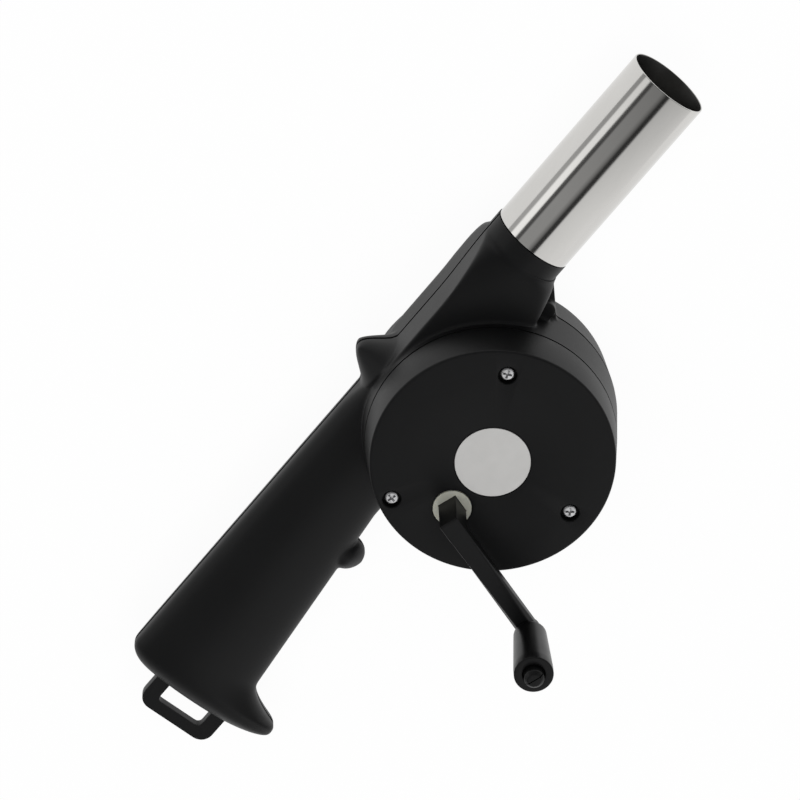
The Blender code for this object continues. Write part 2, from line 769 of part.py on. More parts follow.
def front_shell():
    """Front half of handle, duct and fan chamber, with the wall that carries the gears."""
    shell = long_half(FRONT)
    CUTTERS.objects.unlink(shell)
    PARTS.objects.link(shell)
    shell.hide_render = False
    shell.display_type = "TEXTURED"
    drum = cylinder("front_drum", DRUM_RADIUS, FRONT_FOOT_Z, COVER_SEAM_Z,
                    steps=DRUM_STEPS, top_radius=SEAM_RADIUS)
    body = [drum, spigot_half(FRONT),
            guard(FRONT, GUARD_ROOT_HEIGHT, GUARD_TIP_HEIGHT), finger_stop(FRONT, STOP_HEIGHT),
            gusset("front_gusset", FRONT_FOOT_Z, FRONT_FOOT_Z + GUSSET_RISE)]
    combine(shell, body, "UNION", "front_body")
    low = PARTING_Z - WALL
    hollow = [
        cylinder("front_chamber", INNER_RADIUS, low, GEAR_PLATE_Z, steps=DRUM_STEPS),
        cylinder("front_gear_room", SEAM_RADIUS - WALL, GEAR_PLATE_TOP_Z,
                 COVER_SEAM_Z + WALL, steps=DRUM_STEPS),
        duct_hollow(FRONT),
        handle_hollow(FRONT)]
    combine(shell, hollow, "DIFFERENCE", "front_hollow")
    inside = GEAR_PLATE_Z + WALL / 2
    bosses = [
        cylinder("fan_boss", BUSH_BOSS_RADIUS, FRONT_BUSH_FOOT_Z, PLATE_BOSS_TOP_Z),
        cylinder("crank_boss", BUSH_BOSS_RADIUS, inside, PLATE_BOSS_TOP_Z, CRANK_SPOT),
        cylinder("idler_boss", IDLER_BOSS_RADIUS, inside, PLATE_BOSS_TOP_Z, IDLER_SPOT)]
    for i, spot in enumerate(COVER_SCREW_SPOTS):
        bosses.append(cylinder(f"cover_post_{i}", COVER_POST_RADIUS, inside,
                               COVER_POST_TOP_Z, spot, POST_STEPS))
    for i, spot in enumerate(HANDLE_SCREW_SPOTS):
        bosses.append(cylinder(f"handle_post_{i}", SHELL_BOSS_RADIUS, FRONT_FOOT_Z + POST_GAP,
                               PARTING_Z + HANDLE_CROWN - WALL / 2, spot, POST_STEPS))
    for i, spot in enumerate(DRUM_BOSS_SPOTS):
        bosses.append(cylinder(f"drum_post_{i}", DRUM_BOSS_RADIUS, FRONT_FOOT_Z + POST_GAP,
                               inside, spot, POST_STEPS))
    screw_end = SHELL_SCREW_SEAT_Z + SHELL_SCREW_LENGTH + SEAT_GAP
    bosses.append(cylinder("gusset_post", GUSSET_POST_RADIUS, FRONT_FOOT_Z + POST_GAP,
                           screw_end + WALL / 2, GUSSET_SPOT, POST_STEPS))
    combine(shell, bosses, "UNION", "front_bosses")
    holes = [
        cylinder("fan_bore", BUSH_RADIUS + SEAT_GAP, FRONT_BUSH_FOOT_Z - WALL,
                 PLATE_BOSS_TOP_Z + WALL),
        cylinder("crank_bore", CRANK_STUB_RADIUS + RUN_GAP, GEAR_PLATE_TOP_Z + SEAT_GAP,
                 PLATE_BOSS_TOP_Z + WALL, CRANK_SPOT),
        cylinder("idler_bore", IDLER_PIN_RADIUS + RUN_GAP, GEAR_PLATE_Z + SEAT_GAP,
                 PLATE_BOSS_TOP_Z + WALL, IDLER_SPOT)]
    for i, spot in enumerate(COVER_SCREW_SPOTS):
        holes.append(cylinder(f"cover_pilot_{i}", SCREW_HOLE_RADIUS, GEAR_PLATE_TOP_Z,
                              COVER_POST_TOP_Z + WALL, spot, HOLE_STEPS))
    for i, spot in enumerate(SHELL_SCREW_SPOTS):
        holes.append(cylinder(f"shell_pilot_{i}", SCREW_HOLE_RADIUS, low, screw_end, spot,
                              HOLE_STEPS))
    combine(shell, holes, "DIFFERENCE", "front_holes")
    return finish_part(shell, BLACK, 0.5)


def rear_shell():
    """Back half of handle, duct and fan chamber, with the intake grille and hanging loop."""
    shell = long_half(REAR)
    CUTTERS.objects.unlink(shell)
    PARTS.objects.link(shell)
    shell.hide_render = False
    shell.display_type = "TEXTURED"
    turns = [math.pi / 2 * i / 3 for i in range(4)]
    corner = BACK_RADIUS - BACK_ROUND
    profile = [(0, REAR_TOP_Z), (DRUM_RADIUS, REAR_TOP_Z)]
    profile += [(corner + BACK_ROUND * math.cos(t), BACK_ROUND * (1 - math.sin(t)))
                for t in turns]
    profile.append((0, 0))
    body = [turned("rear_drum", profile, DRUM_STEPS), spigot_half(REAR),
            guard(REAR, GUARD_ROOT_DEPTH, GUARD_TIP_DEPTH), finger_stop(REAR, STOP_DEPTH),
            gusset("rear_gusset", REAR_TOP_Z - GUSSET_DEPTH, REAR_TOP_Z), loop_bar()]
    combine(shell, body, "UNION", "rear_body")
    high = PARTING_Z + WALL
    hollow = [
        cylinder("rear_chamber", INNER_RADIUS - CHAMBER_DRAFT, WALL, high, steps=DRUM_STEPS,
                 top_radius=INNER_RADIUS),
        duct_hollow(REAR),
        handle_hollow(REAR)]
    combine(shell, hollow, "DIFFERENCE", "rear_hollow")
    bosses = [cylinder("rear_bush_boss", BUSH_BOSS_RADIUS, WALL / 2,
                       HUB_FLOOR + SEAT_GAP + REAR_BUSH_LENGTH)]
    for i, spot in enumerate(HANDLE_SCREW_SPOTS):
        bosses.append(cylinder(f"rear_post_{i}", SHELL_BOSS_RADIUS,
                               PARTING_Z - HANDLE_BACK + WALL / 2, REAR_TOP_Z - POST_GAP,
                               spot, POST_STEPS))
    for i, spot in enumerate(DRUM_BOSS_SPOTS):
        bosses.append(cylinder(f"rear_drum_post_{i}", DRUM_BOSS_RADIUS, WALL / 2,
                               REAR_TOP_Z - POST_GAP, spot, POST_STEPS))
    combine(shell, bosses, "UNION", "rear_bosses")
    holes = [cylinder("rear_bush_bore", BUSH_RADIUS + SEAT_GAP, HUB_FLOOR, PARTING_Z),
             plate("intake", intake_outlines(), -WALL, 2 * WALL)]
    for i, spot in enumerate(SHELL_SCREW_SPOTS):
        holes.append(cylinder(f"rear_head_{i}", HEAD_HOLE_RADIUS, -WALL,
                              SHELL_SCREW_SEAT_Z - SEAT_GAP, spot, POST_STEPS))
        holes.append(cylinder(f"rear_clear_{i}", SCREW_HOLE_RADIUS, WALL, high, spot,
                              HOLE_STEPS))
    combine(shell, holes, "DIFFERENCE", "rear_holes")
    return finish_part(shell, BLACK, 0.5)


def loop_bar():
    """Flat loop at the handle's end, to hang the blower by."""
    inside = HANDLE_END_X + LOOP_ROOT
    outer = [(inside, LOOP_LOW_Y), (inside, LOOP_HIGH_Y)]
    outer += round_corner((LOOP_END_X + LOOP_CORNER, LOOP_HIGH_Y - LOOP_CORNER),
                          math.pi / 2, math.pi / 2, LOOP_CORNER)
    outer += round_corner((LOOP_END_X + LOOP_CORNER, LOOP_LOW_Y + LOOP_CORNER),
                          math.pi, math.pi / 2, LOOP_CORNER)
    slot_end = LOOP_END_X + LOOP_BAR
    small = LOOP_SLOT_CORNER
    slot_low = LOOP_LOW_Y + LOOP_SIDE
    slot_high = LOOP_HIGH_Y - LOOP_SIDE
    hole = [(HANDLE_END_X - TINY, slot_low), (HANDLE_END_X - TINY, slot_high)]
    hole += round_corner((slot_end + small, slot_high - small),
                         math.pi / 2, math.pi / 2, small, 2)
    hole += round_corner((slot_end + small, slot_low + small), math.pi, math.pi / 2, small, 2)
    return plate("loop", [outer, hole], REAR_TOP_Z - LOOP_THICKNESS, REAR_TOP_Z)


def intake_outlines():
    """Radial slots in two rings, between the hub and the drum's wall."""
    outlines = []
    half = INTAKE_SLOT / 2
    for count, inner, outer in INTAKE_RINGS:
        for i in range(count):
            turn = math.tau * (i + 0.5) / count
            along = Vector((math.cos(turn), math.sin(turn)))
            across = Vector((-along.y, along.x))
            ends = ((inner, -half), (outer, -half), (outer, half), (inner, half))
            outlines.append([tuple(along * a + across * b) for a, b in ends])
    return outlines


def gear_cover():
    """Front cap of the drum over the gears."""
    turns = [math.pi / 2 * i / 2 for i in range(3)]
    corner = FACE_RADIUS - FACE_ROUND
    top = DRUM_DEPTH
    profile = [(0, top)]
    profile += [(corner + FACE_ROUND * math.sin(t), top - FACE_ROUND * (1 - math.cos(t)))
                for t in turns]
    profile += [(SEAM_RADIUS, COVER_FOOT_Z), (SEAM_RADIUS - WALL, COVER_FOOT_Z),
                (FACE_RADIUS - WALL, COVER_INSIDE_Z), (0, COVER_INSIDE_Z)]
    cover = turned("gear_cover", profile, DRUM_STEPS, PARTS)
    inside = COVER_INSIDE_Z + WALL / 2
    bosses = [
        cylinder("crank_ring", CRANK_BOSS_RADIUS + WALL, CRANK_GEAR_TOP_Z + SEAT_GAP,
                 inside, CRANK_SPOT),
        cylinder("shaft_ring", SHAFT_RING_RADIUS, FAN_PINION_TOP_Z + SEAT_GAP, inside, steps=24),
        cylinder("pin_ring", PIN_RING_RADIUS, IDLER_TOP_Z + SEAT_GAP, inside, IDLER_SPOT)]
    for i, spot in enumerate(COVER_SCREW_SPOTS):
        bosses.append(cylinder(f"cover_boss_{i}", COVER_BOSS_RADIUS,
                               COVER_POST_TOP_Z + SEAT_GAP, inside, spot, POST_STEPS))
    combine(cover, bosses, "UNION", "cover_bosses")
    seat = DRUM_DEPTH - COVER_SCREW_DEPTH
    holes = [
        cylinder("crank_hole", CRANK_BOSS_RADIUS + RUN_GAP, COVER_POST_TOP_Z, top + WALL,
                 CRANK_SPOT, steps=32),
        cylinder("shaft_hole", SHAFT_RADIUS + RUN_GAP, FAN_PINION_TOP_Z - WALL,
                 SHAFT_TOP_Z + SEAT_GAP, steps=24),
        cylinder("pin_hole", IDLER_PIN_RADIUS + RUN_GAP, COVER_POST_TOP_Z,
                 COVER_INSIDE_Z + 2 * SEAT_GAP, IDLER_SPOT),
        cylinder("label_hole", LABEL_RADIUS + SEAT_GAP, top - LABEL_RECESS, top + WALL,
                 steps=40)]
    for i, spot in enumerate(COVER_SCREW_SPOTS):
        holes.append(cylinder(f"cover_head_{i}", HEAD_HOLE_RADIUS, seat, top + WALL, spot, 20))
        holes.append(cylinder(f"cover_clear_{i}", SCREW_HOLE_RADIUS, COVER_POST_TOP_Z, top,
                              spot, HOLE_STEPS))
    combine(cover, holes, "DIFFERENCE", "cover_holes")
    return finish_part(cover, BLACK, 0.5)


def nozzle_tube():
    profile = [(TUBE_RADIUS, TUBE_END_X), (TUBE_RADIUS, COLLAR_X + SEAT_GAP),
               (TUBE_RADIUS - TUBE_WALL, COLLAR_X + SEAT_GAP),
               (TUBE_RADIUS - TUBE_WALL, TUBE_END_X)]
    tube = turned("nozzle_tube", profile, TUBE_STEPS, PARTS, closed=True)
    tube.data.transform(Matrix.Rotation(math.pi / 2, 4, "Y"))
    tube.data.transform(Matrix.Translation((0, TUBE_Y, PARTING_Z)))
    return finish_part(tube, STEEL, 0.22, 1.0)


def centre_label():
    foot = DRUM_DEPTH - LABEL_RECESS + SEAT_GAP
    label = cylinder("centre_label", LABEL_RADIUS, foot, foot + LABEL_THICKNESS, steps=40,
                     collection=PARTS)
    return finish_part(label, WHITE, 0.4)


def screw(name, spot, seat, length, up):
    """Pan-head screw whose shank runs up (1) or down (-1) from its seat."""
    dome = [(0, -1), (0.65, -0.88), (1, -0.3), (1, 0)]
    head = [(SCREW_HEAD_RADIUS * r, SCREW_HEAD_HEIGHT * h) for r, h in dome]
    shank = [(SCREW_RADIUS, 0), (SCREW_RADIUS, length - SCREW_RADIUS), (0, length)]
    profile = [(r, seat + up * h) for r, h in head + shank]
    if up > 0:
        profile.reverse()
    item = turned(name, profile, 10, PARTS)
    return finish_part(item, ZINC, 0.3, 1.0, spot)


# Crank

def crank_arm():
    """Square post, arm and snap pin, moulded in one."""
    half = POST_SIDE / 2
    end = ARM_END_WIDTH / 2
    foot = ARM_TOP_Z - ARM_THICKNESS
    outline = [(-half, -half), (CRANK_THROW, -end)]
    outline += round_corner((CRANK_THROW, 0), -math.pi / 2, math.pi, end)[1:]
    outline.append((-half, half))
    arm = plate("crank_arm", [outline], foot, ARM_TOP_Z, PARTS)
    post = box("post", (-half, -half, POST_FOOT_Z), (half, half, ARM_TOP_Z - WALL))
    pin_top = ARM_TOP_Z + SEAT_GAP + KNOB_LENGTH
    seat = pin_top - KNOB_RECESS_DEPTH + SEAT_GAP
    head_top = pin_top + PIN_HEAD_PROUD
    profile = [(0, head_top), (PIN_HEAD_RADIUS - PIN_HEAD_EDGE, head_top),
               (PIN_HEAD_RADIUS, head_top - PIN_HEAD_EDGE), (PIN_HEAD_RADIUS, seat),
               (PIN_RADIUS, seat), (PIN_RADIUS, ARM_TOP_Z - WALL), (0, ARM_TOP_Z - WALL)]
    pin = turned("pin", profile, 24)
    pin.location.x = CRANK_THROW
    boss = cylinder("arm_boss", ARM_BOSS_RADIUS, ARM_TOP_Z - ARM_BOSS_HEIGHT, ARM_TOP_Z - TINY,
                    (CRANK_THROW, 0))
    combine(arm, [post, pin, boss], "UNION", "arm_body")
    pilot = cylinder("arm_pilot", SCREW_HOLE_RADIUS, POST_FOOT_Z - WALL,
                     STUB_RECESS_Z + COVER_SCREW_LENGTH + SEAT_GAP, steps=12)
    reach = PIN_HEAD_RADIUS + WALL
    slot = box("pin_slot", (CRANK_THROW - PIN_SLOT / 2, -reach, seat - PIN_SLOT_DEPTH),
               (CRANK_THROW + PIN_SLOT / 2, reach, head_top + WALL))
    combine(arm, [pilot, slot], "DIFFERENCE", "arm_holes")
    arm = baked(arm)
    arm.data.transform(Matrix.Rotation(CRANK_ANGLE, 4, "Z"))
    return finish_part(arm, BLACK, 0.42, spot=CRANK_SPOT)


def crank_knob():
    foot = ARM_TOP_Z + SEAT_GAP
    top = foot + KNOB_LENGTH
    bore = PIN_RADIUS + RUN_GAP
    recess = KNOB_RECESS_RADIUS
    profile = [(KNOB_END_RADIUS - KNOB_EDGE, top), (KNOB_END_RADIUS, top - KNOB_EDGE),
               (KNOB_END_RADIUS, top - KNOB_TAPER_START),
               (KNOB_BASE_RADIUS, foot + KNOB_TAPER_END), (KNOB_BASE_RADIUS - KNOB_EDGE, foot),
               (bore, foot), (bore, top - KNOB_RECESS_DEPTH), (recess, top - KNOB_RECESS_DEPTH),
               (recess, top)]
    knob = turned("crank_knob", profile, 22, PARTS, closed=True)
    return finish_part(knob, SATIN_BLACK, 0.3, spot=PIN_SPOT)


def crank_gear():
    """Cream gear whose boss shows in the face and takes the crank's square post."""
    gear = plate("crank_gear", [gear_outline(CRANK_TEETH, CRANK_PHASE, 1)], CRANK_GEAR_Z,
                 CRANK_GEAR_TOP_Z, PARTS)
    foot = GEAR_PLATE_TOP_Z + 2 * SEAT_GAP
    hub = [(0, CRANK_BOSS_TOP_Z), (CRANK_BOSS_RADIUS, CRANK_BOSS_TOP_Z),
           (CRANK_BOSS_RADIUS, CRANK_GEAR_Z + WALL), (CRANK_STUB_RADIUS, CRANK_GEAR_Z + WALL),
           (CRANK_STUB_RADIUS, foot), (0, foot)]
    combine(gear, [turned("crank_hub", hub)], "UNION", "crank_hub_join")
    half = POST_SIDE / 2 + RUN_GAP
    socket = box("crank_socket", (-half, -half, SOCKET_FLOOR_Z),
                 (half, half, CRANK_BOSS_TOP_Z + WALL), turn=CRANK_ANGLE)
    recess = cylinder("stub_recess", SCREW_HEAD_RADIUS + SEAT_GAP, foot - WALL, STUB_RECESS_Z)
    hole = cylinder("stub_hole", SCREW_HOLE_RADIUS, foot, SOCKET_FLOOR_Z + WALL, steps=12)
    combine(gear, [socket, recess, hole], "DIFFERENCE", "crank_gear_holes")
    return finish_part(gear, CREAM, 0.45, spot=CRANK_SPOT)


def idler_gear():
    """Wheel and pinion in one, which turn on the idler pin."""
    wheel = plate("idler_gear", [gear_outline(IDLER_WHEEL_TEETH, WHEEL_PHASE, 1)],
                  WHEEL_Z, WHEEL_Z + WHEEL_THICKNESS, PARTS)
    pinion = plate("idler_pinion", [gear_outline(IDLER_PINION_TEETH, PINION_PHASE, 2)],
                   WHEEL_Z + WHEEL_THICKNESS / 2, IDLER_TOP_Z)
    combine(wheel, [pinion], "UNION", "idler_join")
    bore = cylinder("idler_gear_bore", IDLER_PIN_RADIUS + RUN_GAP, WHEEL_Z - WALL,
                    IDLER_TOP_Z + WALL)
    combine(wheel, [bore], "DIFFERENCE", "idler_hole")
    return finish_part(wheel, CREAM, 0.45, spot=IDLER_SPOT)


def idler_pin():
    pin = cylinder("idler_pin", IDLER_PIN_RADIUS, GEAR_PLATE_Z + 2 * SEAT_GAP,
                   COVER_INSIDE_Z + SEAT_GAP, collection=PARTS)
    return finish_part(pin, STEEL, 0.3, 1.0, IDLER_SPOT)


def ring(name, inner, outer, low, high, colour, spot=(0, 0)):
    """A washer, clip or bush of plain metal."""
    profile = [(outer, high), (outer, low), (inner, low), (inner, high)]
    item = turned(name, profile, 16, PARTS, closed=True)
    return finish_part(item, colour, 0.35, 1.0, spot)


# Fan

def fan_shaft():
    shaft = cylinder("fan_shaft", SHAFT_RADIUS, SHAFT_FOOT_Z, SHAFT_TOP_Z, steps=24,
                     collection=PARTS)
    return finish_part(shaft, STEEL, 0.25, 1.0)


def fan_pinion():
    low = PLATE_BOSS_TOP_Z + 2 * SEAT_GAP + WASHER_THICKNESS
    pinion = plate("fan_pinion", [gear_outline(FAN_TEETH, FAN_PHASE, 2)], low,
                   FAN_PINION_TOP_Z, PARTS)
    bore = cylinder("fan_pinion_bore", SHAFT_RADIUS + RUN_GAP, low - WALL,
                    FAN_PINION_TOP_Z + WALL, steps=24)
    combine(pinion, [bore], "DIFFERENCE", "fan_pinion_hole")
    return finish_part(pinion, CREAM, 0.45)


def blade_outline(turn):
    """Flat outline of one back-swept blade."""
    sides = ([], [])
    for i in range(BLADE_STEPS + 1):
        share = i / BLADE_STEPS
        radius = FAN_EYE_RADIUS + (FAN_RADIUS - FAN_EYE_RADIUS) * share
        angle = turn - BLADE_SWEEP * share ** BLADE_CURVE
        for side, sign in zip(sides, (1, -1)):
            offset = sign * math.asin(BLADE_THICKNESS / 2 / radius)
            side.append((radius * math.cos(angle + offset), radius * math.sin(angle + offset)))
    return sides[0] + sides[1][::-1]


def impeller():
    """Back-swept blades on a disc, open towards the intake."""
    top = FAN_DISC_Z + FAN_DISC_THICKNESS
    hub_top = FRONT_BUSH_FOOT_Z - 2 * SEAT_GAP
    bore = SHAFT_RADIUS + RUN_GAP
    rim = FAN_RADIUS + FAN_RIM
    profile = [(FAN_HUB_RADIUS, hub_top), (FAN_HUB_RADIUS, top), (rim, top), (rim, FAN_DISC_Z),
               (FAN_HUB_RADIUS + FAN_HUB_FLARE, FAN_DISC_Z),
               (FAN_HUB_RADIUS, FAN_DISC_Z - FAN_HUB_FLARE_HEIGHT),
               (FAN_HUB_RADIUS - FAN_HUB_DRAFT, FAN_HUB_FOOT_Z),
               (bore, FAN_HUB_FOOT_Z), (bore, hub_top)]
    wheel = turned("impeller", profile, 28, PARTS, closed=True)
    outlines = [blade_outline(math.tau * i / BLADE_COUNT) for i in range(BLADE_COUNT)]
    blades = plate("blades", outlines, BLADE_FOOT_Z, FAN_DISC_Z + FAN_DISC_THICKNESS / 2)
    combine(wheel, [blades], "UNION", "impeller_join")
    return finish_part(wheel, BLACK, 0.5)


def build():
    front_shell()
    rear_shell()
    gear_cover()
    nozzle_tube()
    centre_label()
    seat = DRUM_DEPTH - COVER_SCREW_DEPTH + TINY * 5
    for i, spot in enumerate(COVER_SCREW_SPOTS):
        screw(f"cover_screw_{i + 1}", spot, seat, COVER_SCREW_LENGTH, -1)
    for i, spot in enumerate(SHELL_SCREW_SPOTS):
        screw(f"shell_screw_{i + 1}", spot, SHELL_SCREW_SEAT_Z - 2 * SEAT_GAP,
              SHELL_SCREW_LENGTH, 1)
    crank_arm()
    crank_knob()
    crank_gear()
    washer_top = STUB_RECESS_Z - SEAT_GAP / 2
    washer_foot = washer_top - WASHER_THICKNESS
    ring("crank_washer", SCREW_HOLE_RADIUS, SCREW_HEAD_RADIUS, washer_foot, washer_top,
         ZINC, CRANK_SPOT)
    screw("crank_screw", CRANK_SPOT, washer_foot - SEAT_GAP / 2, COVER_SCREW_LENGTH, 1)
    idler_gear()
    idler_pin()
    low = PLATE_BOSS_TOP_Z + SEAT_GAP / 2
    ring("idler_washer", IDLER_PIN_RADIUS + RUN_GAP, IDLER_BOSS_RADIUS, low,
         low + WASHER_THICKNESS, ZINC, IDLER_SPOT)
    fan_shaft()
    fan_pinion()
    impeller()
    ring("front_bush", SHAFT_RADIUS + RUN_GAP, BUSH_RADIUS, FRONT_BUSH_FOOT_Z,
         PLATE_BOSS_TOP_Z, BRASS)
    bush_foot = HUB_FLOOR + SEAT_GAP
    bush_top = bush_foot + REAR_BUSH_LENGTH
    ring("rear_bush", SHAFT_RADIUS + RUN_GAP, BUSH_RADIUS, bush_foot, bush_top, BRASS)
    ring("shaft_washer", SHAFT_RADIUS + RUN_GAP, SHAFT_WASHER_RADIUS, low,
         low + WASHER_THICKNESS, ZINC)
    clip_top = FAN_HUB_FOOT_Z - SEAT_GAP
    ring("shaft_clip", SHAFT_RADIUS + TINY * 5, CLIP_RADIUS, clip_top - CLIP_THICKNESS,
         clip_top, STEEL)


build()
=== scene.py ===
"""Looks of a hand-cranked barbecue blower, built around its fixed frame of solids.

Metres, +Z out of the drum's face, +X along the steel nozzle. The blower lies on the flat back
of its drum. The file is laid out as an add-on, and main() runs its operators in order.
"""

import math

import bmesh
import bpy
from mathutils import Matrix, Vector


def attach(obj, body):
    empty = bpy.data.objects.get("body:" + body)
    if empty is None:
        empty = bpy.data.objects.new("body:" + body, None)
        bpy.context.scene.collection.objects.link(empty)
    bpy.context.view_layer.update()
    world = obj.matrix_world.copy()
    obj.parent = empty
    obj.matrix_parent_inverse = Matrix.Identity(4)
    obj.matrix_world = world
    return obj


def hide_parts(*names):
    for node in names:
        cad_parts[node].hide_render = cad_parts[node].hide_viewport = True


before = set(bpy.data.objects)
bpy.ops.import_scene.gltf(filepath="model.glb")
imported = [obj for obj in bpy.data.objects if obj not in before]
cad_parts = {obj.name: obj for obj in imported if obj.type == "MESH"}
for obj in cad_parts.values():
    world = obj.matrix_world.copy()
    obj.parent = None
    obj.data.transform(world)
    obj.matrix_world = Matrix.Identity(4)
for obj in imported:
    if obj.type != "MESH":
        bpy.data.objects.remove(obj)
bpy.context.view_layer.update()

bl_info = {
    "name": "Barbecue Blower Looks",
    "version": (1, 0, 0),
    "blender": (4, 5, 0),
    "location": "View3D > Sidebar > Blower",
    "description": "Dresses the solids of a hand-cranked barbecue blower for a studio picture",
    "category": "Object",
}

SMOOTH_ANGLE = math.radians(32)
SEAT_GAP = 0.0003
RUN_GAP = 0.00015
WALL = 0.0021
WIDE = 0.3
GROOVE_HEIGHT = 0.0012
GROOVE_DEPTH = 0.0016

# Camera of the picture
CAMERA_PLACE = (0.58287, 0.54794, 1.62201)
CAMERA_RIGHT = (0.61992, -0.78433, 0.02286)
CAMERA_UP = (0.71003, 0.54831, -0.44182)
CAMERA_LENS = 225.0
CAMERA_CLIP_END = 20

# Floor, fill lamp, and the world's panels: levels over the turn from straight up towards +Y
FLOOR_GAP = 0.0002
FILL_SIZE = 3.0
FILL_PLACE = (0.3, 0.3, 2.4)
PANEL_STOPS = ((-90, 1.0), (-60, 0.94), (-17, 0.86), (-13, 0.82), (-9, 0.04), (-1, 0.04),
               (6, 0.24), (14, 0.37), (43, 0.38), (47, 0.09), (55, 0.12), (59, 1.3),
               (73, 1.3), (77, 0.5), (90, 0.5))
PANEL_X = -0.32
PANEL_REACH = (0.08, 0.4)
PANEL_END_LEVEL = 0.4

# Drum and cover
DRUM_RADIUS = 0.0461
DRUM_DEPTH = 0.055
PARTING_Z = 0.0188
SEAM_RADIUS = 0.0449
FACE_RADIUS = 0.0435
COVER_SEAM_Z = 0.038
COVER_FOOT_Z = COVER_SEAM_Z + SEAT_GAP
COVER_INSIDE_Z = DRUM_DEPTH - WALL
COVER_POST_TOP_Z = COVER_INSIDE_Z - 0.0044
COVER_POST_RADIUS = 0.0034
COVER_BOSS_RADIUS = 0.0042
FACE_ROUND = 0.0009
BACK_DRAFT = 0.0015
BACK_ROUND = 0.002
INNER_RADIUS = 0.0434
CHAMBER_DRAFT = 0.0012
HUB_FLOOR = 0.0013

# Nozzle tube, collar and the spigot that the tube slips over
TUBE_RADIUS = 0.015
TUBE_WALL = 0.0006
TUBE_Y = 0.0315
TUBE_END_X = 0.1392
COLLAR_X = 0.0643
COLLAR_START_X = 0.058
COLLAR_STEP = 0.0004
COLLAR_RADIUS = TUBE_RADIUS + COLLAR_STEP / 2
COLLAR_LOW_Y = TUBE_Y - TUBE_RADIUS
COLLAR_HIGH_Y = TUBE_Y + TUBE_RADIUS
SPIGOT_LENGTH = 0.014
SPIGOT_RADIUS = TUBE_RADIUS - TUBE_WALL - SEAT_GAP
BORE_RADIUS = SPIGOT_RADIUS - 0.0017

# Duct and handle
DUCT_MOUTH_X = 0.006
DUCT_SPREAD = 0.0037
DUCT_LOW_X = 0.028
OUTER_EDGE_Y = 0.0458
HANDLE_END_X = -0.1563
HANDLE_INNER_Y = 0.0088
HANDLE_INNER_X = -0.0546
HANDLE_TAPER = 0.11
END_CORNER_LENGTH = 0.008
END_CORNER_WIDTH = 0.014
END_ROUND = 0.011
LEAST_WALL_SHARE = 0.01
POMMEL_RISE = 0.0153
POMMEL_TIP_X = -0.15
POMMEL_FLANK_X = -0.147
POMMEL_END_X = -0.135
POMMEL_HOLLOW = 2.2

# Guard, finger stop, web and hanging loop. Each half of the guard has a height at the root and
# a loss of it towards the tip.
HORN_ROOT = 0.006
HORN_TIP_SHARE = 0.998
GUARD_X = -0.0055
GUARD_RISE = 0.0095
GUARD_LENGTH = 0.0108
GUARD_HOLLOW = 0.6
GUARD_HEIGHTS = ((0.0138, 0.0093), (0.0085, 0.005))
STOP_X = -0.0739
STOP_RISE = 0.0067
STOP_LENGTH = 0.0065
STOP_TIP_HEIGHT = 0.0012
STOP_HEIGHTS = (0.0062, 0.006)
STOP_DOME = 1.5
GUSSET_INSETS = (0.0014, 0.012)
GUSSET_DEGREES = (22, 7.4)
GUSSET_BELOW = 0.009
GUSSET_ABOVE = 0.003
GUSSET_POST_RADIUS = 0.0034
GUSSET_POST_TOP_Z = 0.0258
LOOP_END_X = -0.1703
LOOP_LOW_Y = -0.0016
LOOP_HIGH_Y = 0.0295
LOOP_BAR = 0.0048
LOOP_SIDE = 0.006
LOOP_THICKNESS = 0.005
LOOP_CORNER = 0.005
LOOP_SLOT_CORNER = 0.0016
LOOP_LAP = 0.003

# Gear plate, bosses and bushes
CRANK_GEAR_TOP_Z = 0.0504
GEAR_PLATE_TOP_Z = 0.0361
GEAR_PLATE_Z = GEAR_PLATE_TOP_Z - WALL
PLATE_BOSS_TOP_Z = GEAR_PLATE_TOP_Z + 0.0035
FRONT_BUSH_FOOT_Z = GEAR_PLATE_Z - 0.0024
DUCT_CROWN = GEAR_PLATE_TOP_Z - PARTING_Z - 0.00045
BUSH_RADIUS = 0.004
BOSS_RADIUS = 0.0066
DRUM_POST_RADIUS = 0.0036
IDLER_BOSS_RADIUS = 0.0036
CRANK_BORE_RADIUS = 0.00455
IDLER_BORE_RADIUS = 0.00165
REAR_BUSH_LENGTH = 0.0052
IDLER_SPOT = (-0.01022031, -0.0133336)

# Crank
CRANK_SPOT = (-0.0229, 0.0)
CRANK_ANGLE = math.radians(251.3)
CRANK_THROW = 0.05
PIN_SPOT = (CRANK_SPOT[0] + CRANK_THROW * math.cos(CRANK_ANGLE),
            CRANK_SPOT[1] + CRANK_THROW * math.sin(CRANK_ANGLE))
CRANK_BOSS_RADIUS = 0.0069
POST_SIDE = 0.0072
POST_FOOT_Z = 0.0473
POST_DROP = 0.0005
ARM_TOP_Z = DRUM_DEPTH + 0.0172
ARM_THICKNESS = 0.0052
ARM_END_WIDTH = 0.0074
ARM_RIDGE_WIDTH = 0.0046
ARM_SHOULDER = 0.0021
ARM_BOSS_RADIUS = 0.0038
ARM_BOSS_DEPTH = 0.0062
KNOB_LENGTH = 0.0285
KNOB_BASE_RADIUS = 0.0059
KNOB_END_RADIUS = 0.00702
KNOB_DRAFT = 0.0001
KNOB_FOOT_HEIGHT = 0.002
KNOB_BAND_HEIGHT = 0.004
KNOB_RECESS_RADIUS = 0.0039
KNOB_RECESS_DEPTH = 0.0016
KNOB_EDGE = 0.0005
PIN_SLOT = 0.0004
PIN_SLOT_DEPTH = 0.006
PIN_RADIUS = 0.0025
PIN_HEAD_RADIUS = 0.0036
PIN_HEAD_PROUD = 0.0042
PIN_HEAD_EDGE = 0.0012
PIN_ROUND = 0.0004

